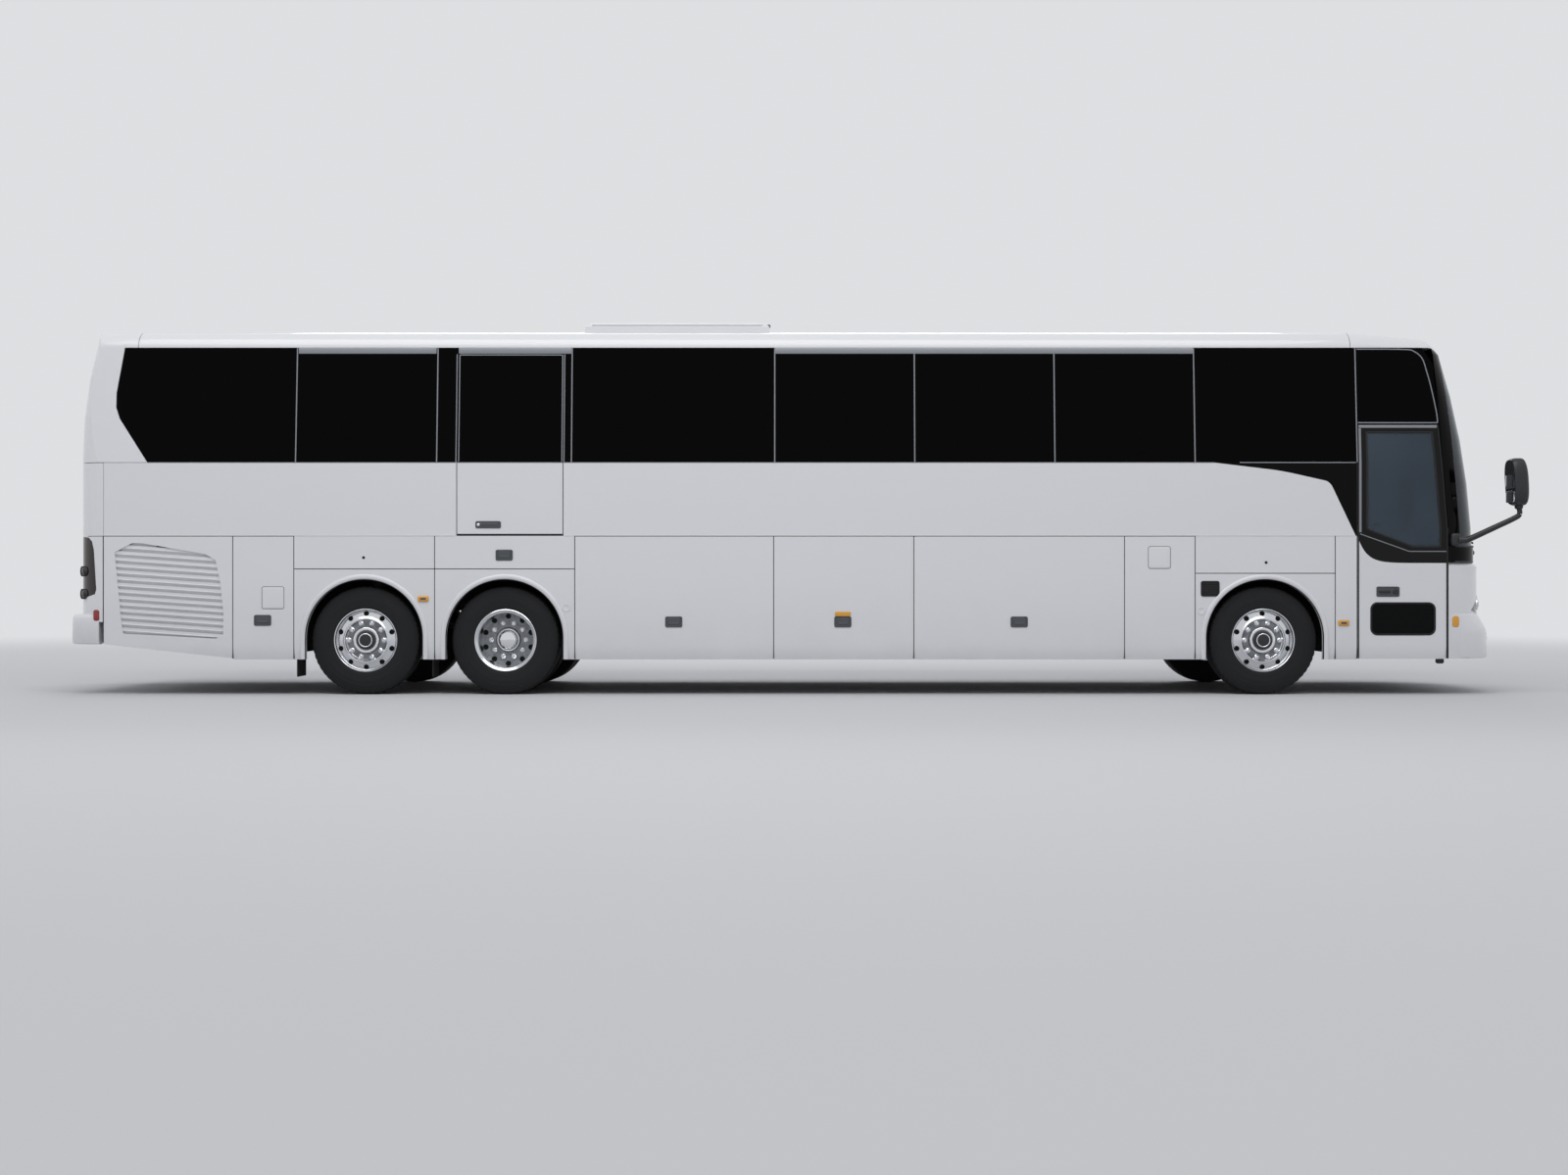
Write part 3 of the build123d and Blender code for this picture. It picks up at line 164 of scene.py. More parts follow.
def loft(rows):
    """A closed shell through rows of points, its ends closed with a point in their middle."""
    rows = np.asarray(rows, float)
    first, last = (np.repeat(rows[k].mean(0)[None], len(rows[k]), 0)[None] for k in (0, -1))
    return outward(surface(np.concatenate([first, rows, last])))


def shell(points, closed):
    """The closed surface of a section carried along a path, which itself closes or has its ends closed."""
    return outward(surface(points, True)) if closed else loft(points)


def merged(parts):
    """Several parts as one pair of arrays."""
    offsets = np.cumsum([0] + [len(v) for v, _ in parts[:-1]])
    return np.concatenate([v for v, _ in parts]), np.concatenate([f + o for (_, f), o in zip(parts, offsets)])


def turned_copies(part, angles, centre):
    """One part repeated at each angle about a cross axis through the centre."""
    verts, faces = part
    x, y, z = (verts - np.array(centre)).T
    c, s = np.cos(angles)[:, None], np.sin(angles)[:, None]
    turned_x = x * c - z * s
    points = np.stack([turned_x, np.broadcast_to(y, turned_x.shape), x * s + z * c], 2) + np.array(centre)
    offsets = (np.arange(len(angles)) * len(verts))[:, None, None]
    return points.reshape(-1, 3), (faces[None] + offsets).reshape(-1, 4)


def mirrored(part):
    """The part on the other side of the coach: its mirror image has its faces turned round again."""
    return part[0] * np.array([1, -1, 1]), part[1][:, ::-1]


def both(parts):
    """Right-hand parts and their mirror images."""
    return [*parts, *[mirrored(part) for part in parts]]


def round_axle(axle_x, r, y, angles, wrap=False):
    """A grid of points at radius r and distance y from the middle plane, at each angle about an axle line."""
    points = (axle_x + r * np.cos(angles), y + 0 * angles, WHEEL_Z + r * np.sin(angles))
    return surface(np.stack(points, 2), wrap)


def ring_surface(profile, axle_x, angles, wrap=False):
    """A (y, radius) profile turned about a wheel's axle line: each point goes round its own circle."""
    y, r = np.array(profile, float).T[..., None]
    return round_axle(axle_x, r, y, angles, wrap)


def rounded_outline(width, height, corner, count=48):
    """Outline of a rectangle with round corners, as points (across, up) at even angles round each corner."""
    a = np.linspace(0, pi / 2, count // 4)[None] + (np.arange(4) * pi / 2)[:, None]
    sign_x, sign_z = np.array(((1, -1, -1, 1), (1, 1, -1, -1)))[..., None]
    x = sign_x * (width / 2 - corner) + corner * np.cos(a)
    z = sign_z * (height / 2 - corner) + corner * np.sin(a)
    return np.stack([x.ravel(), z.ravel()], 1)


def frame_path(x0, x1, z0, z1, corner, count=48):
    """Closed (x, z) line of a rectangle with round corners."""
    return rounded_outline(x1 - x0, z1 - z0, corner, count) + np.array([(x0 + x1) / 2, (z0 + z1) / 2])


def plate(centre, width, height, corner, rings, count=48):
    """A plate on the right-hand side: the rounded outline drawn in by each ring's inset, at its depth.

    rings are (inset, out) pairs from the back edge over the front face. Out is towards -Y."""
    x, y, z = centre
    rows = []
    for inset, out in rings:
        w, h = width - 2 * inset, height - 2 * inset
        o = rounded_outline(w, h, max(min(corner - inset, w / 2, h / 2), 1e-4), count)
        rows.append(np.stack([x + o[:, 0], np.full(len(o), y - out), z + o[:, 1]], 1))
    return loft(rows)


def block(low, high, edge=0.004):
    """A bar or slab with softened edges: its rounded outline seen from above, drawn in at top and bottom."""
    low, high = np.array(low, float), np.array(high, float)
    size, centre = high - low, (low + high) / 2
    rows = []
    for inset, z in ((edge, low[2]), (0, low[2] + edge), (0, high[2] - edge), (edge, high[2])):
        o = rounded_outline(size[0] - 2 * inset, size[1] - 2 * inset, edge, 16)
        rows.append(np.stack([centre[0] + o[:, 0], centre[1] + o[:, 1], np.full(len(o), z)], 1))
    return loft(rows)


def headed(path, closed):
    """A path's points as an array, and its unit direction at each."""
    p = np.array(path, float)
    tangent = np.roll(p, -1, 0) - np.roll(p, 1, 0) if closed else np.gradient(p, axis=0)
    return p, tangent / np.linalg.norm(tangent, axis=1)[:, None]


def tube(path, radius, count=12, closed=False, flatten=1.0):
    """A round bar along a path: a circle carried along it square to its direction."""
    p, tangent = headed(path, closed)
    steep = np.abs(tangent @ (0, 0, 1))[:, None] > 0.95
    side = np.cross(tangent, np.where(steep, (1.0, 0, 0), (0, 0, 1.0)))
    side /= np.linalg.norm(side, axis=1)[:, None]
    rise = np.cross(side, tangent)
    r = np.broadcast_to(np.asarray(radius, float), (len(p),))[:, None, None]
    a = around(count)[None, :, None]
    return shell(p[:, None] + r * (np.cos(a) * side[:, None] * flatten + np.sin(a) * rise[:, None]), closed)


def turned(profile, centre, axis, count=40):
    """A (distance along the axis, radius) profile turned about an axis through a centre."""
    axis = np.array(axis, float) / np.linalg.norm(axis)
    side = np.cross(axis, (0, 0, 1) if abs(axis[2]) < 0.9 else (1, 0, 0))
    side /= np.linalg.norm(side)
    a = around(count)[:, None]
    ring = np.cos(a) * side + np.sin(a) * np.cross(axis, side)
    rows = [np.array(centre) + along * axis + max(r, 1e-6) * ring for along, r in profile]
    return outward(surface(np.stack(rows)))


def pillow(centre, size, power=4.0, count=(32, 20), squash=None):
    """A rounded block: a sphere's longitude and latitude, with sines and cosines raised to 2/power so that it
    fills its box, then scaled to its size."""
    def signed(a):
        return np.sign(a) * np.abs(a) ** (2 / power)

    u, v = around(count[0]), np.linspace(-pi / 2, pi / 2, count[1])[:, None]
    wide, high = signed(np.cos(v)), signed(np.sin(v))
    points = np.stack([wide * signed(np.cos(u)), wide * signed(np.sin(u)), high + 0 * u], 2)
    points = points * np.array(size) / 2
    if squash is not None:
        points = squash(points)
    return outward(surface(points + np.array(centre)))


def wall_y(z):
    """Distance of the body side from the middle plane: upright up to the belt, then leaning in evenly."""
    return HALF_WIDTH - WINDOW_LEAN * np.clip((z - BELT_Z) / (GUTTER_Z - BELT_Z), 0, 1.1)


def on_wall(x, z):
    """The point of the right-hand body side at x and z."""
    return x, -wall_y(z), z


def nose_x(z):
    """Foremost x of the windscreen at a height: an arc of 6.978 m seen from the side."""
    return -0.19 + np.sqrt(6.978**2 - (z - 1.17) ** 2)


def nose_corner(nose, corner):
    """Centre (x, y) of the front's left round corner, which touches the wide arc and the body side."""
    y = HALF_WIDTH - corner
    return nose - NOSE_RADIUS + sqrt((NOSE_RADIUS - corner) ** 2 - y**2), y


def nose_plan(y, nose, corner=SCREEN_CORNER):
    """The x of the front at a distance from the middle plane: the wide arc, then the round corner."""
    y = np.abs(y)
    centre_x, centre_y = nose_corner(nose, corner)
    arc = nose - NOSE_RADIUS + np.sqrt(NOSE_RADIUS**2 - y**2)
    bend = centre_x + np.sqrt(np.clip(corner**2 - (y - centre_y) ** 2, 0, None))
    return np.where(y < NOSE_RADIUS / (NOSE_RADIUS - corner) * centre_y, arc, bend)


def nose_line(nose, corner, angles):
    """Plan line of the front: points on the wide arc, or on the corner where the direction turns past it."""
    centre_x, centre_y = nose_corner(nose, corner)
    wide = np.abs(np.sin(angles)) < centre_y / (NOSE_RADIUS - corner)
    c, s = np.cos(angles), np.sin(angles)
    x = np.where(wide, nose - NOSE_RADIUS + NOSE_RADIUS * c, centre_x + corner * c)
    return np.stack([x, np.where(wide, NOSE_RADIUS * s, np.sign(angles) * centre_y + corner * s)], 1)


# sections of a trim bar, as (across in widths, out in heights)
FLAT_SECTION = ((-0.5, 0.55), (-0.36, 1.0), (0.36, 1.0), (0.5, 0.55))
ROUND_SECTION = tuple((-0.5 * cos(k * pi / 10), sin(k * pi / 10)) for k in range(11))


def trim(path, width, proud, sunk=0.003, closed=False, section=FLAT_SECTION):
    """A bar on the right-hand body side along a line of (x, z) points: its low section, across by out from
    the skin, is carried along the line and set square to it."""
    p, tangent = headed(path, closed)
    across = np.stack([-tangent[:, 1], tangent[:, 0]], 1)[:, None]
    section = np.array([(-0.5, -sunk), *[(a, proud * b) for a, b in section], (0.5, -sunk)])
    xz = p[:, None] + section[None, :, :1] * width * across
    out = wall_y(xz[..., 1]) + section[None, :, 1]
    return shell(np.stack([xz[..., 0], -out, xz[..., 1]], 2), closed)


def line(*points):
    """Straight (x, z) runs between the points, with extra points near the ends of each run and at the belt,
    where the side starts to lean."""
    rows = []
    for (x0, z0), (x1, z1) in zip(points[:-1], points[1:]):
        steps = {0.0, 0.02, 0.98}
        if (z0 - BELT_Z) * (z1 - BELT_Z) < 0:
            steps.add((BELT_Z - z0) / (z1 - z0))
        rows += [(x0 + t * (x1 - x0), z0 + t * (z1 - z0)) for t in sorted(steps)]
    return np.array(rows + [points[-1]])


def uprights(places, low, high, width, proud, sunk=0.003):
    """Upright trims at each x."""
    return [trim(line((x, low), (x, high)), width, proud, sunk) for x in places]


def levels(z, spans, width, proud, sunk=0.003):
    """Level trims at one height, from x0 to x1 of each span."""
    return [trim(line((x0, z), (x1, z)), width, proud, sunk) for x0, x1 in spans]


def face_plate(x_at, y0, y1, z0, z1, proud, corner=0.02, count=120):
    """A thin plate that follows the front or rear surface: its rounded outline, spaced evenly, is drawn in
    ring by ring to its middle and every ring is laid on the surface and pushed out."""
    closed = rounded_outline(y1 - y0, z1 - z0, corner)
    closed = np.vstack([closed, closed[:1]])
    run = np.concatenate([[0], np.cumsum(np.linalg.norm(np.diff(closed, axis=0), axis=1))])
    at = np.linspace(0, run[-1], count, endpoint=False)
    across, up = (np.interp(at, run, closed[:, k]) for k in (0, 1))
    back = -np.sign(proud) * 0.006
    rows = []
    for scale, out in ((0.5, back), (1, back), (1, proud * 0.7), (0.99, proud), (0.8, proud), (0.6, proud),
                       (0.4, proud), (0.2, proud)):
        y, z = (y0 + y1) / 2 + across * scale, (z0 + z1) / 2 + up * scale
        rows.append(np.stack([x_at(y, z) + out, y, z], 1))
    return loft(rows)


def placed(part, centre, tilt):
    """The part turned about the cross axis and moved to its centre."""
    x, y, z = part[0].T
    c, s = cos(tilt), sin(tilt)
    return np.stack([x * c - z * s, y, x * s + z * c], 1) + np.array(centre), part[1]


# ---------------------------------------------------------------- pieces
def new_object(name, data):
    """A new object in the scene."""
    obj = bpy.data.objects.new(name, data)
    bpy.context.scene.collection.objects.link(obj)
    return obj


def new_mesh(name, verts, faces):
    """A mesh of points and quads, put in as whole arrays."""
    mesh = bpy.data.meshes.new(name)
    mesh.vertices.add(len(verts))
    mesh.vertices.foreach_set("co", verts.astype(np.float32).ravel())
    mesh.loops.add(faces.size)
    mesh.loops.foreach_set("vertex_index", faces.astype(np.int32).ravel())
    mesh.polygons.add(len(faces))
    mesh.polygons.foreach_set("loop_start", np.arange(len(faces), dtype=np.int32) * 4)
    mesh.update(calc_edges=True)
    return mesh


def weld(mesh):
    """Joins the points that lie on each other, at seams and poles."""
    bm = bmesh.new()
    bm.from_mesh(mesh)
    bmesh.ops.remove_doubles(bm, verts=bm.verts, dist=1e-6)
    bmesh.ops.dissolve_degenerate(bm, edges=bm.edges, dist=1e-7)
    bm.to_mesh(mesh)
    bm.free()


def piece(name, parts, skins, slot, body="body", replaces=(), smooth=35):
    """Makes one object of (verts, quads) parts or lists of them, with one skin each or one for all, and
    lets it ride on a body."""
    if isinstance(skins, str):
        parts, skins = [parts], [skins]
    parts = [merged(part) if isinstance(part, list) else part for part in parts]
    mesh = new_mesh(name, *merged(parts))
    index = np.concatenate([np.full(len(f), k, np.int32) for k, (_, f) in enumerate(parts)])
    mesh.polygons.foreach_set("material_index", index)
    mesh.validate()
    for skin in skins:
        mesh.materials.append(material(skin))
    obj = new_object(name, mesh)
    weld(mesh)
    mesh.polygons.foreach_set("use_smooth", np.ones(len(mesh.polygons), bool))
    mesh.set_sharp_from_angle(angle=radians(smooth))
    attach(obj, body)
    if replaces:
        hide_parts(*replaces)
    return obj


# ---------------------------------------------------------------- materials
def linear(colour):
    """sRGB colour, as a hex word or three numbers, to linear light."""
    if isinstance(colour, str):
        colour = [int(colour[i:i + 2], 16) / 255 for i in (1, 3, 5)]
    values = [c / 12.92 if c <= 0.04045 else ((c + 0.055) / 1.055) ** 2.4 for c in colour]
    return (*values, 1.0)


def node(tree, kind, settings=None, links=None):
    """Adds one shader node, with its settings by attribute or input name and its inputs' links."""
    n = tree.nodes.new("ShaderNode" + kind)
    for key, value in (settings or {}).items():
        if isinstance(key, str) and hasattr(n, key):
            setattr(n, key, value)
        else:
            n.inputs[key].default_value = value
    for key, socket in (links or {}).items():
        tree.links.new(socket, n.inputs[key])
    return n


def plain(name, colour, **shader):
    """A material of one even colour; returns it, its tree and its shader."""
    m = bpy.data.materials.new(name)
    m.use_nodes = True
    tree = m.node_tree
    bsdf = next(n for n in tree.nodes if n.type == "BSDF_PRINCIPLED")
    bsdf.inputs["Base Color"].default_value = linear(colour)
    for key, value in shader.items():
        bsdf.inputs[key.replace("_", " ")].default_value = value
    return m, tree, bsdf


def darker_low_down(tree, place, noise, paint):
    """Paint darkened to nine tenths low down, in blotches: noise times a fall from 0.35 m to 1.1 m up."""
    z = node(tree, "SeparateXYZ", {}, {"Vector": place}).outputs["Z"]
    height = node(tree, "MapRange", {"From Min": 0.35, "From Max": 1.1, "To Min": 0.6, "To Max": 0.0},
                  {"Value": z})
    low_blotches = node(tree, "TexNoise", {"Scale": 2.5, "Detail": 5.0, "Roughness": 0.6}, {"Vector": place})
    amount = node(tree, "Math", {"operation": "MULTIPLY"}, {0: height.outputs[0], 1: low_blotches.outputs["Fac"]})
    tones = {"data_type": "RGBA", 6: linear(paint.body), 7: linear([0.9 * c for c in paint.body])}
    return {"Base Color": node(tree, "Mix", tones, {0: amount.outputs[0]}).outputs[2]}


def two_tone(tree, place, noise, paint):
    """White below and gloss black above a line that drops steeply from the door's rear edge and then runs
    level: Z = 1.264 + 0.25 exp(11.8 (5.431 - X))."""
    axes = node(tree, "SeparateXYZ", {}, {"Vector": place})
    back = node(tree, "Math", {"operation": "MULTIPLY_ADD", 1: -11.8, 2: 11.8 * 5.431},
                {0: axes.outputs["X"]})
    drop = node(tree, "Math", {"operation": "EXPONENT"}, {0: back.outputs[0]})
    edge = node(tree, "Math", {"operation": "MULTIPLY_ADD", 1: 0.25, 2: 1.264}, {0: drop.outputs[0]})
    above = node(tree, "Math", {"operation": "GREATER_THAN"},
                 {0: axes.outputs["Z"], 1: edge.outputs[0]}).outputs[0]
    tone = node(tree, "Mix", {"data_type": "RGBA", 6: linear(paint.body), 7: linear(paint.trim)}, {0: above})
    gloss = node(tree, "MapRange", {"To Min": 0.32, "To Max": 0.08}, {"Value": above})
    return {"Base Color": tone.outputs[2], "Roughness": gloss.outputs[0]}


def painted_glass_light(tree, place, noise, paint):
    """A painted reflection, pale and mottled, on the upper window, and painted shade below 1.2 m, nearly
    black over the dark steps.
    """
    z = node(tree, "SeparateXYZ", {}, {"Vector": place}).outputs["Z"]
    upper = node(tree, "Math", {"operation": "GREATER_THAN", 1: 1.2}, {0: z})
    # painted reflection: two pale greys mixed by noise; painted shade: nearly black below 1.2 m
    painted_reflection = node(tree, "Mix", {"data_type": "RGBA", 6: linear("#56626e"), 7: linear("#7c8996")}, {0: noise})
    return {"Base Color": node(tree, "Mix", {"data_type": "RGBA", 6: (0.004, 0.005, 0.006, 1.0)},
                               {0: upper.outputs[0], 7: painted_reflection.outputs[2]}).outputs[2]}


def finish(name, colour, grain=(), rough=None, tint=None, bump=None, fine=(), more=None,
           pattern="TexNoise", **shader):
    """A maker of one material, which takes its colour from the settings or as a hex word.

    A pattern over object coordinates has grain (cells to the metre, detail, roughness). It varies the
    roughness between two limits, mixes two tints and lifts the surface by (strength, distance), there in
    its fine grain where one is given. more adds links of the material's own."""
    def make(paint):
        m, tree, bsdf = plain(name, getattr(paint, colour, colour), **shader)
        place = node(tree, "TexCoord").outputs["Object"]

        def texture(values):
            return node(tree, pattern, dict(zip(("Scale", "Detail", "Roughness"), values)),
                        {"Vector": place}).outputs["Fac"]

        noise = texture(grain) if grain else None
        links = more(tree, place, noise, paint) if more else {}
        if tint:
            tones = {"data_type": "RGBA", 6: linear(tint[0]), 7: linear(tint[1])}
            links["Base Color"] = node(tree, "Mix", tones, {0: noise}).outputs[2]
        if rough:
            links["Roughness"] = node(tree, "MapRange", {"To Min": rough[0], "To Max": rough[1]},
                                      {"Value": noise}).outputs[0]
        if bump:
            links["Normal"] = node(tree, "Bump", {"Strength": bump[0], "Distance": bump[1]},
                                   {"Height": texture(fine) if fine else noise}).outputs[0]
        for key, socket in links.items():
            tree.links.new(socket, bsdf.inputs[key])
        return m
    return make


FINISHES = {
    # two-layer coach paint, sprayed: white with soft reflections, a faint ripple and darker blotches near the
    # skirts
    "white_paint": finish("white coach paint", "body", (0.8,), bump=(0.05, 0.01), more=darker_low_down,
                          Roughness=0.32, Coat_Weight=0.7, Coat_Roughness=0.06),
    # the same paint on the door's lower part, with sprayed gloss black above
    "door_paint": finish("two tone door paint", "body", more=two_tone, Specular_IOR_Level=0.2,
                         Coat_Weight=0.06, Coat_Roughness=0.05),
    # polished coating over moulded plastic: deep black with sharp, faint reflections
    "black_trim": finish("gloss black trim", "trim", (3,), (0.06, 0.12), Roughness=0.08,
                         Specular_IOR_Level=0.1),
    # privacy glass, so deeply tinted that little shows through it by day
    "dark_glass": finish("privacy glass", "glass", (1.5,), (0.01, 0.05), Roughness=0.02,
                         Specular_IOR_Level=0.05),
    # laminated glass, tinted in the mass: grey-blue to look through, with a faint waviness
    "clear_glass": finish("tinted laminated glass", "#4c565f", (1.2,), (0.01, 0.03), Transmission_Weight=0.92,
                          IOR=1.45),
    # toughened door glass: blue-grey, with a pale, mottled painted reflection above and nearly black painted
    # shade below
    "door_glass": finish("blue-grey door glass", "#687583", (0.9,), (0.02, 0.06), more=painted_glass_light,
                         Transmission_Weight=0.7, IOR=1.2, Specular_IOR_Level=0.25),
    # silvered mirror glass: bright and sharp
    "mirror_glass": finish("silvered mirror glass", "#dfe3e6", (4,), (0.02, 0.05),
                           Metallic=1, Roughness=0.03),
    # moulded tyre rubber: matt black, greyer where it is dusty, with a 4 mm grain
    "tyre_rubber": finish("tyre rubber", "#18191b", (6, 6, 0.65), (0.62, 0.86), ("#0e0f11", "#1b1c1e"),
                          (0.15, 0.001), (260,), Roughness=0.72, Specular_IOR_Level=0.35),
    # forged aluminium, polished: bright, with fine turning marks
    "polished_alloy": finish("polished aluminium", "#d9dbde", (18, 4), (0.1, 0.26),
                             Metallic=1, Roughness=0.16),
    # machined aluminium of the wheel discs: greyer as painted shade of their recess, mottled darker and
    # lighter as painted reflections of the road
    "machined_alloy": finish("machined aluminium", "#7d8084", (22, 5, 0.6), (0.22, 0.42),
                             ("#404246", "#9fa2a6"), Metallic=1, Roughness=0.3),
    # chromed steel of wheel nuts and hub covers: near mirror bright
    "chrome": finish("chromed steel", "#e6e7e9", (30,), (0.04, 0.1), Metallic=1, Roughness=0.06),
    # cast iron and steel of axles and engine, painted satin black: a coarse 25 mm mottle
    "chassis_iron": finish("black painted cast iron", "#1a1b1d", (40, 5), (0.45, 0.7), bump=(0.2, 0.002),
                           Roughness=0.55, Metallic=0),
    # sprayed underseal on floor panels and bulkheads: dull and lumpy
    "chassis_black": finish("black underseal", "#0e0f10", (60, 4), bump=(0.3, 0.002), Roughness=0.8),
    # safety vinyl on the floors: speckled grey, 2.5 mm specks
    "floor_covering": finish("safety vinyl", "#3a3b3e", (400, 1), tint=("#2c2d30", "#4a4b4f"), Roughness=0.6),
    # woven seat cloth: blue-grey threads crossing, drawn 5.6 mm wide so that they show
    "seat_fabric": finish("woven moquette", "#303848", (180,), tint=("#272e3c", "#39425a"), bump=(0.3, 0.001),
                          pattern="TexChecker", Roughness=0.9, Sheen_Weight=0.35),
    # soft-touch moulded plastic of the dashboard: charcoal with a 2 mm grain
    "cab_plastic": finish("grained cab plastic", "#26272a", (500,), bump=(0.2, 0.0005), Roughness=0.6),
    # grained moulded plastic of mirrors and fittings: dark grey
    "black_plastic": finish("grained dark plastic", "#232427", (600,), bump=(0.15, 0.0004), Roughness=0.42),
    # extruded rubber of seals and mudflaps: dull black
    "rubber": finish("black rubber", "#131315", (120, 3), bump=(0.15, 0.001), Roughness=0.75),
    # clear moulded polycarbonate over a dark housing: a grey depth under a hard gloss
    "lamp_clear": finish("headlamp polycarbonate", "#3c4043", (12,), (0.03, 0.1), Roughness=0.05,
                         Coat_Weight=1, Coat_Roughness=0.02),
    # smoked acrylic of the tail lamps: nearly black, with a red cast
    "lamp_red": finish("smoked red acrylic", "#1b0b0d", (12,), (0.05, 0.12), Roughness=0.08, Coat_Weight=0.35,
                       Coat_Roughness=0.03),
    # moulded acrylic lenses with an 11 mm ribbing: clear red and amber
    "bright_red": finish("red acrylic", "#8a1014", (90,), bump=(0.2, 0.001), Roughness=0.12, Coat_Weight=0.8),
    "amber": finish("amber acrylic", "#d99a2b", (90,), bump=(0.2, 0.001), Roughness=0.15, Coat_Weight=0.7),
    # anodised aluminium of gutters, joints and door bars: satin grey
    "grey_rail": finish("anodised aluminium", "#8b8e93", (25, 4), (0.3, 0.46), Metallic=0.6, Roughness=0.38),
    # satin steel of recessed handles and hinges: dark grey
    "recess": finish("dark grey steel", "#4a4d51", (40,), (0.38, 0.52), Roughness=0.45),
}
MATERIALS = {}


def material(name):
    """The material of that name, made when first asked for."""
    if name not in MATERIALS:
        MATERIALS[name] = FINISHES[name](bpy.context.scene.coach_paint)
    return MATERIALS[name]


class COACH_OT_frame_materials(Operator):
    """Gives every node of the frame its real material"""
    bl_idname = "coach.frame_materials"
    bl_label = "Frame materials"

    def execute(self, context):
        own = {"entrance_door": "door_paint", "door_glass": "door_glass"}
        for entry in frame["record"]["subparts"]:
            mesh = frame["nodes"][entry["node"]].data
            mesh.materials.clear()
            mesh.materials.append(material(own.get(entry["node"], entry["material_slot"])))
        return {"FINISHED"}


# ---------------------------------------------------------------- wheels
# closed section of a tyre, as (half widths from the middle, radius): bead, wall, shoulder and tread
TYRE_SECTION = ((0.0, 0.3), (0.78, 0.288), (0.93, 0.302), (1.0, 0.372), (0.995, 0.425), (0.94, 0.474),
                (0.88, 0.504), (0.8, 0.5155), (0.55, 0.5205), (0.0, 0.522))
GROOVES = (-0.082, -0.028, 0.028, 0.082)
WALL_LINES = ((0.33, 0.004), (0.352, 0.003), (0.398, 0.006), (0.44, 0.004), (0.468, 0.005))
WALL_LINE_HEIGHT = 0.0026


def tyre(settings, axle_x, wheel_y, columns=216, rows=88):
    """One tyre: its section turned about the axle, with four grooves round the tread, lugs on the shoulders
    and thin raised lines round the walls."""
    half = [(settings.half_width * y, r * settings.tyre_radius / 0.522) for y, r in TYRE_SECTION]
    y, r = smooth_path(half + [(-y, r) for y, r in half[-2:0:-1]], rows, closed=True).T[..., None]
    t = around(columns)[None]
    tread = np.clip((r - 0.508) / 0.006, 0, 1)
    groove = sum(np.exp(-((y - c) / 0.0055) ** 4) for c in GROOVES)
    lug = (np.sin(settings.lugs * t) > 0.72) * np.clip((np.abs(y) - 0.09) / 0.008, 0, 1)
    shoulder = np.clip((r - 0.49) / 0.01, 0, 1)
    radius = r - settings.groove_depth * (groove * tread) - 0.007 * lug * shoulder
    wall = np.clip((np.abs(y) - 0.11) / 0.02, 0, 1) * (r < 0.5)
    lines = sum(np.exp(-((r - at) / wide) ** 2) for at, wide in WALL_LINES)
    widest = settings.half_width + WALL_LINE_HEIGHT
    side = np.clip(y + np.sign(y) * WALL_LINE_HEIGHT * lines * wall + 0 * t, -widest, widest)
    return outward(round_axle(axle_x, radius, wheel_y + side, t, True))


class COACH_OT_tyres(Operator):
    """Eight tyres with grooved treads, lugged shoulders and bulging walls"""
    bl_idname = "coach.tyres"
    bl_label = "Tyres"

    def execute(self, context):
        for name, axle_x, body in AXLES:
            for side_name, side in SIDES:
                parts = [tyre(context.scene.coach_wheels, axle_x, side * y)
                         for y in (WHEEL_Y, WHEEL_Y - DUAL_SPACING)[:2 if name == "drive" else 1]]
                piece(f"{name}_tyre_{side_name}_look", parts, "tyre_rubber", "tyre_rubber",
                      f"{body}_{side_name}", [f"{name}_tyre_{side_name}"], 42)
        return {"FINISHED"}


def holed_ring(height, axle_x, r_in, r_out, holes, hole_r, mid, depth, per_side=8):
    """Part of a wheel disc between two radii with round hand holes, and the holes' walls and floors.

    Each hole has one sector. Its points go from the hole's circle to the sector's four edges in even steps,
    and lie on the disc's own height over radius; the walls go straight in and the floors close them."""
    even, one = np.linspace(-1, 1, per_side + 1)[:-1], np.ones(per_side)
    edge = np.concatenate([(even, -one), (one, even), (-even, one), (-one, -even)], 1)
    ring_r = mid + edge[1] * np.where(edge[1] < 0, mid - r_in, r_out - mid)
    ring_t = edge[0] * pi / holes
    direction = np.arctan2(ring_r - mid, ring_t * mid)
    steps = np.linspace(0, 1, 7)[:, None] ** 1.3
    across, up = hole_r * np.cos(direction), hole_r * np.sin(direction)
    angle = (across + steps * (ring_t * mid - across)) / mid
    radial = mid + up + steps * (ring_r - mid - up)
    y = height(radial)
    floor = np.full_like(across, height(mid) - depth)
    well = [np.stack(rows) for rows in ((angle[0], angle[0], 0 * across),
                                        (radial[0], radial[0], mid + 0 * across),
                                        (y[0], floor, floor))]
    bases = 2 * pi / holes * np.arange(holes) + pi / 2
    disc, hole = (merged([round_axle(axle_x, r, out, base + a) for base in bases])
                  for a, r, out in ((angle, radial, y), well))
    return disc, hole, bases


def nut(axle_x, y0, settings, tall, across=0.0165):
    """One wheel nut with its flange and stud, at the top of the nut circle: rings from the flange to the
    stud's tip, with a six-sided radius where the spanner goes."""
    t = around(24)
    hexagon = across / np.cos((t % (pi / 3)) - pi / 6)
    rows = [(0, 0), (0.023, 0), (0.023, 0.005), (0.019, 0.008), (hexagon, 0.009), (hexagon, tall - 0.004),
            (hexagon * 0.86, tall), (0.01, tall), (0.01, tall + 0.01), (0.007, tall + 0.013),
            (0, tall + 0.013)]
    return outward(surface(np.stack([np.stack([axle_x + r * np.cos(t), np.full(24, y0 + out),
                                               WHEEL_Z + settings.nut_circle + r * np.sin(t)], 1)
                                     for r, out in rows])))
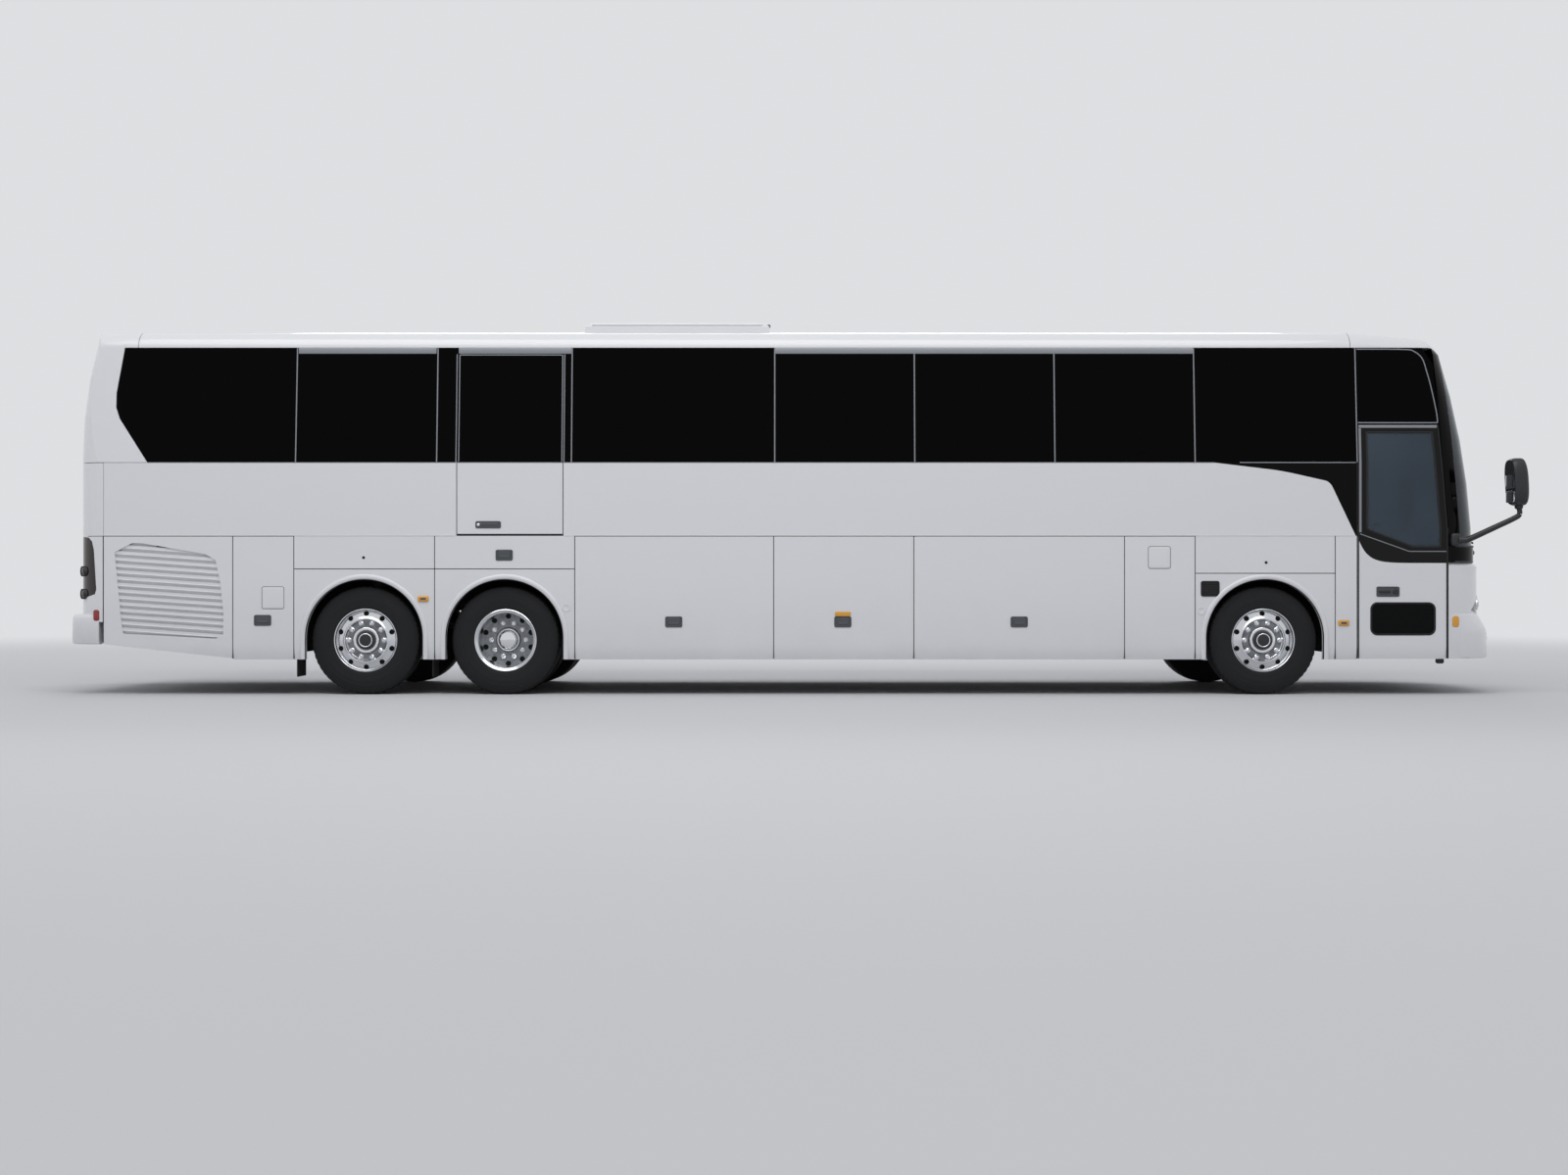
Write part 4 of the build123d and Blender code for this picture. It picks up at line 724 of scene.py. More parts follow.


# convex wheels (steered and tag) and dished ones (driven), with points as (radius, out from the wheel's
# middle plane): the disc, the band of hand holes, a hole's (radius, circle), the point of the disc where its
# darker part ends (painted shade of the recess), the foot of the nuts, the hub's skin, the lip and barrel,
# and raised rings as (radius, out, half width)
BARREL_BACK = DUAL_SPACING + 0.125
CONVEX = dict(
    disc=((0.0, 0.149), (0.07, 0.1485), (0.083, 0.145), (0.0865, 0.136), (0.089, 0.119), (0.124, 0.118),
          (0.128, 0.11), (0.132, 0.104), (0.186, 0.104), (0.196, 0.112), (0.203, 0.121), (0.212, 0.121),
          (0.222, 0.114), (0.232, 0.11)),
    band=((0.232, 0.11), (0.285, 0.096)), hole=(0.0255, 0.2575), painted_shade_end=9, nuts_at=0.1035,
    hub="cab_plastic",
    lip=((0.285, 0.096), (0.288, 0.098), (0.2905, 0.114), (0.2915, 0.126), (0.2935, 0.137), (0.298, 0.141),
         (0.3035, 0.139), (0.305, 0.131), (0.302, 0.12), (0.287, 0.119), (0.2855, -0.125), (0.0, -0.125)),
    rings=((0.062, 0.1485, 0.005), (0.1085, 0.1185, 0.0145)))
DISHED = dict(
    disc=((0.0, 0.004), (0.045, 0.001), (0.075, -0.008), (0.088, -0.022), (0.091, -0.038), (0.114, -0.038),
          (0.117, -0.044), (0.121, -0.05), (0.19, -0.05), (0.198, -0.049), (0.203, -0.049)),
    band=((0.203, -0.049), (0.256, -0.036)), hole=(0.0265, 0.23), painted_shade_end=11, nuts_at=-0.0505, hub="chrome",
    lip=((0.256, -0.036), (0.259, 0.02), (0.261, 0.098), (0.2625, 0.112), (0.268, 0.121), (0.276, 0.127),
         (0.282, 0.13), (0.287, 0.1375), (0.293, 0.1405), (0.2985, 0.1375), (0.2995, 0.129), (0.297, 0.12),
         (0.287, 0.119), (0.2855, -BARREL_BACK), (0.0, -BARREL_BACK)),
    rings=((0.102, -0.0375, 0.005),))
HUB_END = 5
HOLE_DEPTH = 0.03
NUT_HEIGHT = 0.026
RING_DEPTH = 0.0035


def wheel_rim(settings, axle_x, shape):
    """One rim on the left as (polished, machined, hub, nuts, holes) parts, the machined part coloured darker
    as
    painted shade: rings of the disc's profile, the band with hand holes, then the lip and barrel; the back is
    closed by a ring."""
    def height(r):
        return WHEEL_Y + np.interp(r, *np.transpose(shape["band"]))

    def turn_profile(profile):
        return ring_surface([(WHEEL_Y + out, max(r, 1e-6)) for r, out in profile], axle_x, turn)

    holes, (hole_r, hole_at), painted_shade_end = settings.hand_holes, shape["hole"], shape["painted_shade_end"]
    band, shaded_wells, angles = holed_ring(height, axle_x, shape["band"][0][0], shape["band"][1][0],
                                     holes, hole_r, hole_at, HOLE_DEPTH)
    turn = around(holes * 8) + pi / 2 - pi / holes
    hub = turn_profile(shape["disc"][:HUB_END])
    dark = turn_profile(shape["disc"][HUB_END - 1:painted_shade_end])
    lip = turn_profile(shape["lip"])
    # the machined alloy is painted shade: on the recessed disc of a convex wheel, and on the whole dish and
    # band of a dished one
    if shape is DISHED:
        bright, dark = [lip], [dark, band]
    else:
        bright, dark = [turn_profile(shape["disc"][painted_shade_end - 1:]), band, lip], [dark]
    nuts = turned_copies(nut(axle_x, WHEEL_Y + shape["nuts_at"], settings, NUT_HEIGHT),
                         angles + pi / settings.nuts - pi / 2, (axle_x, 0, WHEEL_Z))
    rings = [outward(ring_surface([(WHEEL_Y + out + RING_DEPTH * sin(a), r + half * cos(a))
                                   for a in around(12)], axle_x, turn, True))
             for r, out, half in shape["rings"]]
    return merged(bright), merged(dark), hub, merged([nuts, *rings]), shaded_wells


class COACH_OT_rims(Operator):
    """Six alloy rims with hub covers, wheel nuts and hand holes"""
    bl_idname = "coach.rims"
    bl_label = "Rims"

    def execute(self, context):
        for name, axle_x, body in AXLES:
            shape = DISHED if name == "drive" else CONVEX
            left = wheel_rim(context.scene.coach_wheels, axle_x, shape)
            # the hand holes' walls and floors take black rubber: painted shade of the openings
            skins = ["polished_alloy", "machined_alloy", shape["hub"], "chrome", "rubber"]
            for side_name, side in SIDES:
                piece(f"{name}_rim_{side_name}_look", left if side > 0 else [mirrored(part) for part in left],
                      skins, "polished_alloy", f"{body}_{side_name}", [f"{name}_rim_{side_name}"], 30)
        return {"FINISHED"}


# ---------------------------------------------------------------- seats
# passenger seats as (x, y centre, floor z), and each kind's width, seat height, back height and back lean
SEAT_ROWS = [(-5.65 + 0.84 * row, side * 0.72, 1.56) for row in range(12) for side in (-1, 1)]
BENCH, DRIVER = (0.94, 0.44, 0.66, 0.22), (0.5, 0.445, 0.72, 0.16)
CLOTH_FRAMES = 20
CLOTH_CAP = 0.008


def stuffed(part, held):
    """A sewn cover swollen by Blender's cloth: pressed from inside for twenty frames without gravity, held at
    the points for which held() is true, and no point goes further than the cap from where it started."""
    verts, faces = part
    mesh = new_mesh("cover", verts, faces)
    weld(mesh)
    rest = np.empty(len(mesh.vertices) * 3, np.float32)
    mesh.vertices.foreach_get("co", rest)
    rest = rest.reshape(-1, 3).astype(float)
    obj = new_object("cover", mesh)
    obj.vertex_groups.new(name="seams").add(np.flatnonzero(held(rest)).tolist(), 1.0, "REPLACE")
    cloth = obj.modifiers.new("cloth", "CLOTH").settings
    cloth.quality = 6
    cloth.use_pressure = True
    cloth.uniform_pressure_force = 4.0
    cloth.effector_weights.gravity = 0.0
    cloth.vertex_group_mass = "seams"
    scene = bpy.context.scene
    for number in range(1, CLOTH_FRAMES + 1):
        scene.frame_set(number)
    swollen = np.empty(len(rest) * 3, np.float32)
    obj.evaluated_get(bpy.context.evaluated_depsgraph_get()).data.vertices.foreach_get("co", swollen)
    moved = swollen.reshape(-1, 3) - rest
    far = np.linalg.norm(moved, axis=1)[:, None]
    moved = moved * np.minimum(1, CLOTH_CAP / np.maximum(far, 1e-9))
    bpy.data.objects.remove(obj)
    scene.frame_set(1)
    if not np.isfinite(moved).all():
        raise RuntimeError("the cloth of a seat pad came out with no finite place")
    nearest = np.argmin(((verts[:, None] - rest[None]) ** 2).sum(2), axis=1)
    return verts + moved[nearest], faces


def seat_pad(size, settings):
    """A seat cushion or back about the origin: a rounded block with sewn channels along its length and a
    crown over its upper face, smaller than its box by the cap all round, then swollen like stuffed cloth."""
    size = np.array(size) - 2 * CLOTH_CAP
    pleat, crown = 1 / settings.seams, settings.crown

    def channels(v):
        return np.exp(-(((np.abs(v) + pleat) % (2 * pleat) - pleat) / 0.035) ** 2)

    def shape(p):
        u, v = p[..., 0] / (size[0] / 2), p[..., 1] / (size[1] / 2)
        top = (p[..., 2] > 0) * (1 - u**4) * (1 - v**4)
        split = np.exp(-(v / 0.05) ** 2)
        rise = top * (crown * 0.3 - crown * split - 0.007 * channels(v))
        return np.stack([p[..., 0], p[..., 1], p[..., 2] + rise], -1)

    def held(p):
        v = p[:, 1] / (size[1] / 2)
        piping = np.abs(p[:, 2]) < 0.006
        return piping | ((p[:, 2] > 0) & ((channels(v) > 0.6) | (np.abs(v) < 0.03)))

    part = pillow((0, 0, 0), size, 5.0, (64, 40), shape)
    return stuffed(part, held)


class COACH_OT_seats(Operator):
    """Padded cushions and backs of the passenger seats and the driver's seat"""
    bl_idname = "coach.seats"
    bl_label = "Seats"

    def execute(self, context):
        looks = {"seat_cushions": [], "seat_backs": []}
        for kind, places in ((BENCH, SEAT_ROWS), (DRIVER, [(5.485, 0.64, 0.96)])):
            width, high, tall, lean = kind
            cushion, back = (seat_pad((deep, width - 0.01, thick), context.scene.coach_seats)
                             for deep, thick in ((0.465, 0.115), (tall, 0.095)))
            for x, y, floor in places:
                looks["seat_cushions"] += [
                    placed(cushion, (x + 0.2, y, floor + high - 0.062), 0.06),
                    pillow((x + 0.15, y, floor + 0.17), (0.26, width * 0.72, 0.3), 8.0, (24, 12))]
                looks["seat_backs"].append(placed(back, (x - 0.055, y, floor + high + tall / 2 - 0.03),
                                                  lean - pi / 2))
        for name, parts in looks.items():
            piece(name + "_look", parts, "seat_fabric", "seat_fabric", replaces=[name],
                            smooth=60)
        return {"FINISHED"}


# ---------------------------------------------------------------- side trim
JOINTS = (-4.754, -3.401, -2.109, -0.159, 1.184, 2.528, 3.872, 5.427)
GUTTER_STRIPS = ((-4.74, -3.415), (-3.2, -2.115), (-0.153, 3.866))
FRONT_PANE_LINE = ((5.44, 3.325), (5.9, 3.322), (6.0, 3.3), (6.072, 3.235), (6.11, 3.12), (6.15, 2.96),
                   (6.196, 2.72), (6.206, 2.612), (5.44, 2.612))


class COACH_OT_glass_trim(Operator):
    """Pale joints between the side panes, the rails above them, the belt line and the front pane's edge"""
    bl_idname = "coach.glass_trim"
    bl_label = "Side glass trim"

    def execute(self, context):
        joint = BELT_Z + 0.002, 3.336, 0.011, 0.0015
        right = uprights(JOINTS, *joint) + uprights((-3.216, -2.18), BELT_Z + 0.002, 3.276, 0.009, 0.0015)
        left = uprights((*JOINTS, -3.208, -2.189), *joint)
        corner = smooth_path(FRONT_PANE_LINE[:-1], 60)
        edge = np.concatenate([corner, line(*FRONT_PANE_LINE[-2:])[1:]])
        shared = [trim(edge, 0.01, 0.0015), *levels(BELT_Z - 0.002, [(4.3, 5.413)], 0.009, 0.0015),
                  *levels(BELT_Z - 0.003, [(-6.175, 4.06)], 0.006, 0.001)]
        piece("glass_joints", right + [mirrored(part) for part in left] + both(shared),
              "grey_rail", "black_trim")
        piece("gutter_rails", both(levels(3.309, GUTTER_STRIPS, 0.056, 0.004)), "grey_rail", "black_trim")
        return {"FINISHED"}


def handle(x, z, width=0.165, height=0.105):
    """A flush pull handle as (surround, flap) parts: a plate with a rounded rim and a sunk flap in it."""
    x, y, z = on_wall(x, z)
    rim = plate((x, y, z), width, height, 0.018, ((0, -0.004), (0, 0.004), (0.004, 0.007), (0.012, 0.007),
                                                  (0.015, 0.003)))
    return rim, plate((x, y, z + 0.006), width - 0.05, height - 0.045, 0.012,
                      ((0, 0.001), (0, 0.006), (0.005, 0.009), (0.02, 0.006)))


def marker(x, z, width=0.105, height=0.055):
    """A side marker lamp as (amber lens, dark window) parts: a shallow domed lens with an oval middle."""
    return (plate(on_wall(x, z), width, height, 0.014,
                  ((0, -0.003), (0, 0.008), (0.004, 0.013), (0.014, 0.016))),
            plate(on_wall(x, z), width * 0.55, height * 0.36, height * 0.17,
                  ((0, 0.012), (0, 0.0165), (0.004, 0.018))))


def barrel(centre, radius, rim, out, count):
    """A round lock on the side: an upright wall out to its rim, a bevel and a flat face."""
    return turned(((-0.002, 0.0), (-0.002, radius), (rim, radius), *out), centre, (0, -1, 0), count)


class COACH_OT_lift_door_trim(Operator):
    """Edge joints, handle and lock of the wheelchair lift door"""
    bl_idname = "coach.lift_door_trim"
    bl_label = "Lift door trim"

    def execute(self, context):
        edges = [*uprights((-3.19, -2.2), 2.24, 3.27, 0.009, 0.0015),
                 *levels(3.268, [(-3.186, -2.204)], 0.008, 0.0015)]
        lock = barrel(on_wall(-3.0, 1.632), 0.014, 0.009, ((0.011, 0.01), (0.011, 0.0)), 24)
        piece("lift_door_fittings", [edges, [*handle(-2.906, 1.632, 0.245, 0.07)], lock],
              ["grey_rail", "recess", "chrome"], "black_plastic", "lift_door")
        return {"FINISHED"}


class COACH_OT_entrance_door_trim(Operator):
    """Seals, bars, handle, window gaskets and hand rails of the entrance door"""
    bl_idname = "coach.entrance_door_trim"
    bl_label = "Entrance door trim"

    def execute(self, context):
        edge = ((5.52, 1.59), (5.96, 1.42), (6.225, 1.42), (6.225, 1.6), (6.15, 2.52), (5.52, 2.52))
        seals = [*uprights([5.4375], 0.352, 2.586, 0.012, 0.004),
                 trim(line((6.286, 0.352), (6.286, 1.6), (6.206, 2.586)), 0.012, 0.004),
                 trim(line(*edge, edge[0]), 0.016, 0.003),
                 trim(frame_path(5.56, 6.17, 0.579, 0.88, 0.06), 0.018, 0.004, closed=True),
                 block((6.195, -1.285, 0.3), (6.265, -1.235, 0.352), 0.01)]
        bars = [*levels(2.575, [(5.446, 6.196)], 0.026, 0.004), *uprights([5.456], 1.56, 2.56, 0.022, 0.004),
                trim(line((5.452, 1.545), (5.925, 1.376), (6.28, 1.376)), 0.009, 0.003)]
        cup = plate(on_wall(5.72, 0.99), 0.222, 0.099, 0.016, ((0, -0.003), (0, 0.004), (0.004, 0.007),
                                                               (0.011, 0.007), (0.014, 0.003)))
        grip = plate(on_wall(5.69, 0.992), 0.11, 0.03, 0.012,
                     ((0, 0.002), (0, 0.016), (0.005, 0.02), (0.01, 0.021)))
        lock = barrel(on_wall(5.792, 0.99), 0.026, 0.012, ((0.015, 0.02), (0.015, 0.009), (0.011, 0.0)), 32)
        rails = [tube(((5.605, -1.225, 0.737), (5.945, -1.225, 0.737)), 0.012),
                 tube(((5.85, -1.222, 0.64), (5.85, -1.222, 0.855)), 0.016)]
        piece("entrance_door_fittings", [seals, bars, cup, [grip, lock], rails],
              ["rubber", "grey_rail", "recess", "black_plastic", "polished_alloy"],
              "black_plastic", "entrance_door")
        return {"FINISHED"}


class COACH_OT_arch_lips(Operator):
    """Raised painted lips round the six wheel openings, with a rubber edge inside them"""
    bl_idname = "coach.arch_lips"
    bl_label = "Arch lips"

    def execute(self, context):
        for name, skin, radius, width, proud, section in (
                ("arch_lips", "white_paint", 0.588, 0.05, 0.016, ROUND_SECTION),
                ("arch_edges", "rubber", 0.5615, 0.008, 0.009, FLAT_SECTION)):
            a = np.linspace(0, pi, 61)
            arc = np.stack([radius * np.cos(a), 0.545 + radius * np.sin(a)], 1)
            path = np.concatenate([[(radius, 0.342)], arc, [(-radius, 0.342)]])
            lips = [trim(path + (axle_x, 0), width, proud, section=section) for _, axle_x, _ in AXLES]
            piece(name, both(lips), skin, skin)
        return {"FINISHED"}


# flush handles as (x, z, body): those of both sides, and the one at the rear of each
FLAP_HANDLES = ((-1.127, 0.7, "luggage_flap_1"), (0.494, 0.7, "luggage_flap_2"),
                (2.185, 0.7, "luggage_flap_3"))
REAR_HANDLES = {"right": "service_door", "left": "grille_door"}


class COACH_OT_panel_fittings(Operator):
    """Flush handles, marker lamps, small flaps, the vent, dimples, plugs and crease of the side panels"""
    bl_idname = "coach.panel_fittings"
    bl_label = "Panel fittings"

    def execute(self, context):
        for side, rear in REAR_HANDLES.items():
            for x, z, body in ((-5.069, 0.715, rear), *FLAP_HANDLES):
                parts = [*handle(x, z)]
                if body == "luggage_flap_2":
                    parts.append(plate((x, -wall_y(z), z + 0.075), 0.15, 0.045, 0.012,
                                       ((0, -0.003), (0, 0.008), (0.004, 0.013), (0.012, 0.015))))
                if side == "left":
                    parts = [mirrored(part) for part in parts]
                piece(f"{body}_{side}_handle", parts, ["recess", "recess", "amber"][:len(parts)],
                      "black_plastic", f"{body}_{side}")
        piece("drive_arch_handle", both(handle(-2.7526, 1.34)), "recess", "black_plastic")
        lenses, windows = zip(*(marker(x, z) for x, z in ((-3.528, 0.922), (5.295, 0.69))))
        piece("side_markers", [both(lenses), both(windows)], ["amber", "recess"], "lamp_clear")
        size = 0.212
        for name, x, z, body in (("filler_flap", 3.5295, 1.3167, "fuel_door_right"),
                                 ("service_flap", -4.97, 0.931, "service_door_right")):
            groove = trim(frame_path(x - size / 2, x + size / 2, z - size / 2, z + size / 2, 0.018),
                          0.005, 0.0008, closed=True)
            cover = plate(on_wall(x, z), size - 0.008, size - 0.008, 0.014,
                          ((0, -0.002), (0, 0.001), (0.003, 0.0025), (0.02, 0.0025)))
            piece(name, [groove, cover], ["recess", "white_paint"], "white_paint", body)
        x, y, z = on_wall(4.016, 1.018)
        mouth = plate((x, y, z), 0.18, 0.15, 0.022, ((0, -0.003), (0, 0.005), (0.006, 0.008), (0.014, 0.008),
                                                     (0.017, 0.003)))
        slats = [plate((x, y, z + k * 0.023), 0.14, 0.01, 0.004, ((0, 0.001), (0, 0.006), (0.002, 0.008)))
                 for k in range(-2, 3)]
        piece("heater_vent", both([mouth, *slats]), "rubber", "black_plastic")
        cup = ((-0.001, 0.0), (-0.001, 0.04), (0.004, 0.04), (0.006, 0.034), (0.002, 0.022), (0.001, 0.0))
        plug = ((-0.002, 0.0), (-0.002, 0.014), (0.002, 0.014), (0.003, 0.01), (0.001, 0.008), (0.001, 0.0))
        for name, profile, count, skin, places in (
                ("lamp_dimples", cup, 32, "white_paint", ((3.9327, 0.809), (-2.156, 0.837))),
                ("jack_plugs", plug, 24, "rubber", ((-4.101, 1.3166), (4.5528, 1.2696)))):
            piece(name, both([turned(profile, on_wall(*place), (0, -1, 0), count) for place in places]),
                  skin, skin)
        bars = levels(1.5285, ((-6.585, -3.215), (-2.18, 5.405), (-6.585, 5.405)), 0.007, 0.004)
        piece("crease_moulding", [*bars[:2], mirrored(bars[2])], "white_paint", "white_paint")
        return {"FINISHED"}


# ---------------------------------------------------------------- lamps and mirrors
def lens(centre, axis, radius, depth):
    """A round lamp as (bezel, lens) parts: a rounded ring with a dome set in it."""
    bezel = turned(((-0.02, 0.0), (-0.02, radius), (depth * 0.5, radius), (depth * 0.62, radius * 0.95),
                    (depth * 0.5, radius * 0.86), (depth * 0.2, radius * 0.84), (depth * 0.2, 0.0)),
                   centre, axis)
    dome = [(depth * (0.2 + 0.8 * (1 - k**2) ** 0.5), 0.84 * radius * k) for k in np.linspace(1, 0, 9)]
    return bezel, turned(((depth * 0.1, 0.0), (depth * 0.1, 0.84 * radius), *dome), centre, axis)


class COACH_OT_lamps(Operator):
    """Lenses and rims of the head lamps, tail lamps, corner lamps and reflectors"""
    bl_idname = "coach.lamps"
    bl_label = "Lamps"

    def execute(self, context):
        heads = [lens((float(nose_plan(y, *LAMP_FACE)) - 0.006, y, 0.872), axis, radius, 0.022)
                 for y, axis, radius in ((-0.9, (1.0, -0.9 / NOSE_RADIUS, 0.0), 0.062),
                                         (-1.035, (0.93, -0.37, 0.02), 0.058))]
        tails = []
        for z in (1.1865, 0.968):
            for y, slope in ((-1.12, -0.1), (-1.215, -0.75)):
                x = TAIL_X + 0.25 - sqrt(0.25**2 - (-y - 1.046) ** 2)
                tails.append(lens((x + 0.004, y, z), (-1.0, slope, 0.0), 0.05, 0.03))
        (bezels, clear), (hoods, domes) = zip(*heads), zip(*tails)
        side_red = plate((-6.663, -1.29, 0.762), 0.058, 0.106, 0.018, ((0, -0.004), (0, 0.006), (0.004, 0.01),
                                                                       (0.012, 0.012)))
        piece("lamp_bezels", both(bezels), "chrome", "lamp_clear")
        piece("tail_lamp_domes", [both(hoods), both(domes)], ["cab_plastic", "lamp_red"], "lamp_red")
        piece("clear_lenses", both(clear), "lamp_clear", "lamp_clear")
        piece("red_lenses", both([pillow((-6.966, -1.0, 0.59), (0.014, 0.11, 0.045))]),
              "bright_red", "lamp_red")
        piece("side_red_lamps", both([side_red]), "bright_red", "lamp_red")
        piece("amber_lenses", both([pillow((6.372, -1.284, 0.703), (0.068, 0.028, 0.108))]),
              "amber", "lamp_clear")
        return {"FINISHED"}


def tapered(p):
    """The mirror head's shape: narrower towards its ends, leaning, bowed in front and flat at the back."""
    x, y, z = p[..., 0], p[..., 1], p[..., 2]
    u = z / 0.225
    wide = 1 - 0.16 * np.clip(u, 0, 1) ** 2 - 0.1 * np.clip(-u, 0, 1) ** 2
    front = x * (1 - 0.25 * (y / 0.13) ** 2) * wide
    back = np.maximum(x, -0.06) * 1.28
    return np.stack([np.where(x > 0, front, back) - 0.012 * u, y * wide, z], -1)


class COACH_OT_mirrors(Operator):
    """Mirror heads, their glasses and the arms that carry them"""
    bl_idname = "coach.mirrors"
    bl_label = "Mirrors"

    def execute(self, context):
        head_x, head_y = 6.89, -1.48
        head = pillow((head_x, head_y, 2.03), (0.158, 0.26, 0.45), 4.0, (56, 40), tapered)
        path = smooth_path(((6.388, -1.322, 1.483), (6.43, -1.335, 1.483), (6.48, -1.352, 1.494),
                            (6.69, -1.416, 1.6), (6.86, -1.468, 1.688), (6.902, head_y, 1.722),
                            (6.904, head_y, 1.77), (head_x, head_y, 1.83)), 60)
        arm = tube(path, np.interp(np.arange(60), (0, 8, 40, 50, 59), (0.036, 0.03, 0.025, 0.024, 0.03)), 20,
                   flatten=0.85)
        foot = pillow((6.362, -1.3, 1.488), (0.09, 0.08, 0.125))
        ball = pillow((6.898, head_y, 1.8), (0.07, 0.075, 0.06), 3.0)
        glass = []
        for z, height in ((2.092, 0.25), (1.89, 0.11)):
            o = rounded_outline(0.186, height, 0.03)
            glass.append(loft([np.stack([np.full(len(o), head_x + x), head_y + o[:, 0] * k,
                                         z + o[:, 1] * k], 1)
                               for x, k in ((-0.07, 1), (-0.0795, 1), (-0.0803, 0.98), (-0.0803, 0.5))]))
        piece("mirror_arms_look", [both([head, arm, foot, ball]), both(glass)],
              ["black_plastic", "mirror_glass"], "black_plastic", replaces=["mirrors"], smooth=50)
        return {"FINISHED"}


class COACH_OT_wipers(Operator):
    """Two parked wipers: arms from the foot of the windscreen and blades along it"""
    bl_idname = "coach.wipers"
    bl_label = "Wipers"

    def execute(self, context):
        parts = []
        for start, end in ((-0.98, -0.06), (0.9, 0.02)):
            y = np.linspace(start, end, 30)
            z = 1.462 + 0.02 * np.sin(np.linspace(0, pi, 30))
            blade = np.stack([nose_plan(y, nose_x(z)) + 0.016, y, z], 1)
            pivot_y = start * 0.9
            hub = np.array([float(nose_plan(pivot_y, 6.786)) + 0.012, pivot_y, 1.372])
            middle = blade[15] + (0.03, 0, 0)
            arm = smooth_path((hub, hub * 0.6 + middle * 0.4 + (0.014, 0, 0.01), middle), 24)
            parts += [tube(blade, 0.008, 8), tube(blade[4:-4] + (0.014, 0, 0.004), 0.006, 8),
                      tube(arm, np.linspace(0.013, 0.008, 24), 10, flatten=0.6),
                      turned(((-0.03, 0.0), (-0.03, 0.024), (0.016, 0.024), (0.022, 0.018), (0.022, 0.0)),
                             hub, (1, 0, 0.1), 24)]
        piece("wipers", parts, "black_plastic", "black_plastic")
        return {"FINISHED"}


# ---------------------------------------------------------------- front, rear and roof
class COACH_OT_front_fittings(Operator):
    """Grille bars, plate, lower intake, cowl vents and fog lamps of the front"""
    bl_idname = "coach.front_fittings"
    bl_label = "Front fittings"

    def execute(self, context):
        def fascia(y, z):
            return nose_plan(y, *FASCIA)

        def bumper(y, z):
            return nose_plan(y, *BUMPER)

        def screen(y, z):
            return nose_plan(y, nose_x(z))

        bars = [face_plate(fascia, -0.56, 0.56, 0.9 + k * 0.055, 0.928 + k * 0.055, 0.01, 0.01)
                for k in range(4)]
        back = face_plate(fascia, -0.6, 0.6, 0.87, 1.125, 0.004, 0.05)
        number_plate = face_plate(bumper, -0.26, 0.26, 0.475, 0.587, 0.008, 0.014)
        holder = face_plate(bumper, -0.275, 0.275, 0.462, 0.6, 0.004, 0.018)
        intake = face_plate(bumper, -0.7, 0.7, 0.385, 0.45, 0.003, 0.02)
        vents = [face_plate(screen, y, y + 0.16, 1.318, 1.346, 0.004, 0.012)
                 for y in (-0.62, -0.4, 0.24, 0.46)]
        piece("front_grille", [back, bars], ["rubber", "grey_rail"], "black_trim")
        piece("front_plate", [holder, number_plate], ["black_plastic", "white_paint"], "black_plastic")
        piece("front_intake", [intake, *vents], "rubber", "black_trim")
        y = -0.88
        fog, dome = lens((float(nose_plan(y, *BUMPER)) - 0.004, y, 0.545),
                         (1, y / NOSE_RADIUS, 0), 0.052, 0.018)
        piece("fog_lamps", [both([fog]), both([dome])], ["chrome", "lamp_clear"], "lamp_clear")
        return {"FINISHED"}


# the front bumper's section as (share of the way back to the fascia, z), and the rear one's as (inset, z)
BUMPER_PROFILE = ((0.16, 0.35), (0.03, 0.354), (0.0, 0.372), (0.0, 0.59), (0.05, 0.615), (0.2, 0.65),
                  (0.43, 0.69), (0.67, 0.727), (0.86, 0.757), (0.97, 0.775), (1.06, 0.78), (1.3, 0.77),
                  (1.3, 0.36))
REAR_PROFILE = ((0.02, 0.485), (0.006, 0.491), (0.0, 0.508), (0.0, 0.69), (0.003, 0.735), (0.012, 0.76),
                (0.028, 0.774), (0.092, 0.776), (0.092, 0.485))


# the rear bumper's face, side and corner radius, and how far its top edge drops between the corners
REAR_X, REAR_Y, REAR_CORNER = -6.97, 1.2985, 0.24
REAR_TOP_DROP = 0.068


def at_height(xy, z):
    """Points of a plan line at one height, or at one each."""
    return np.column_stack([xy, z + np.zeros(len(xy))])


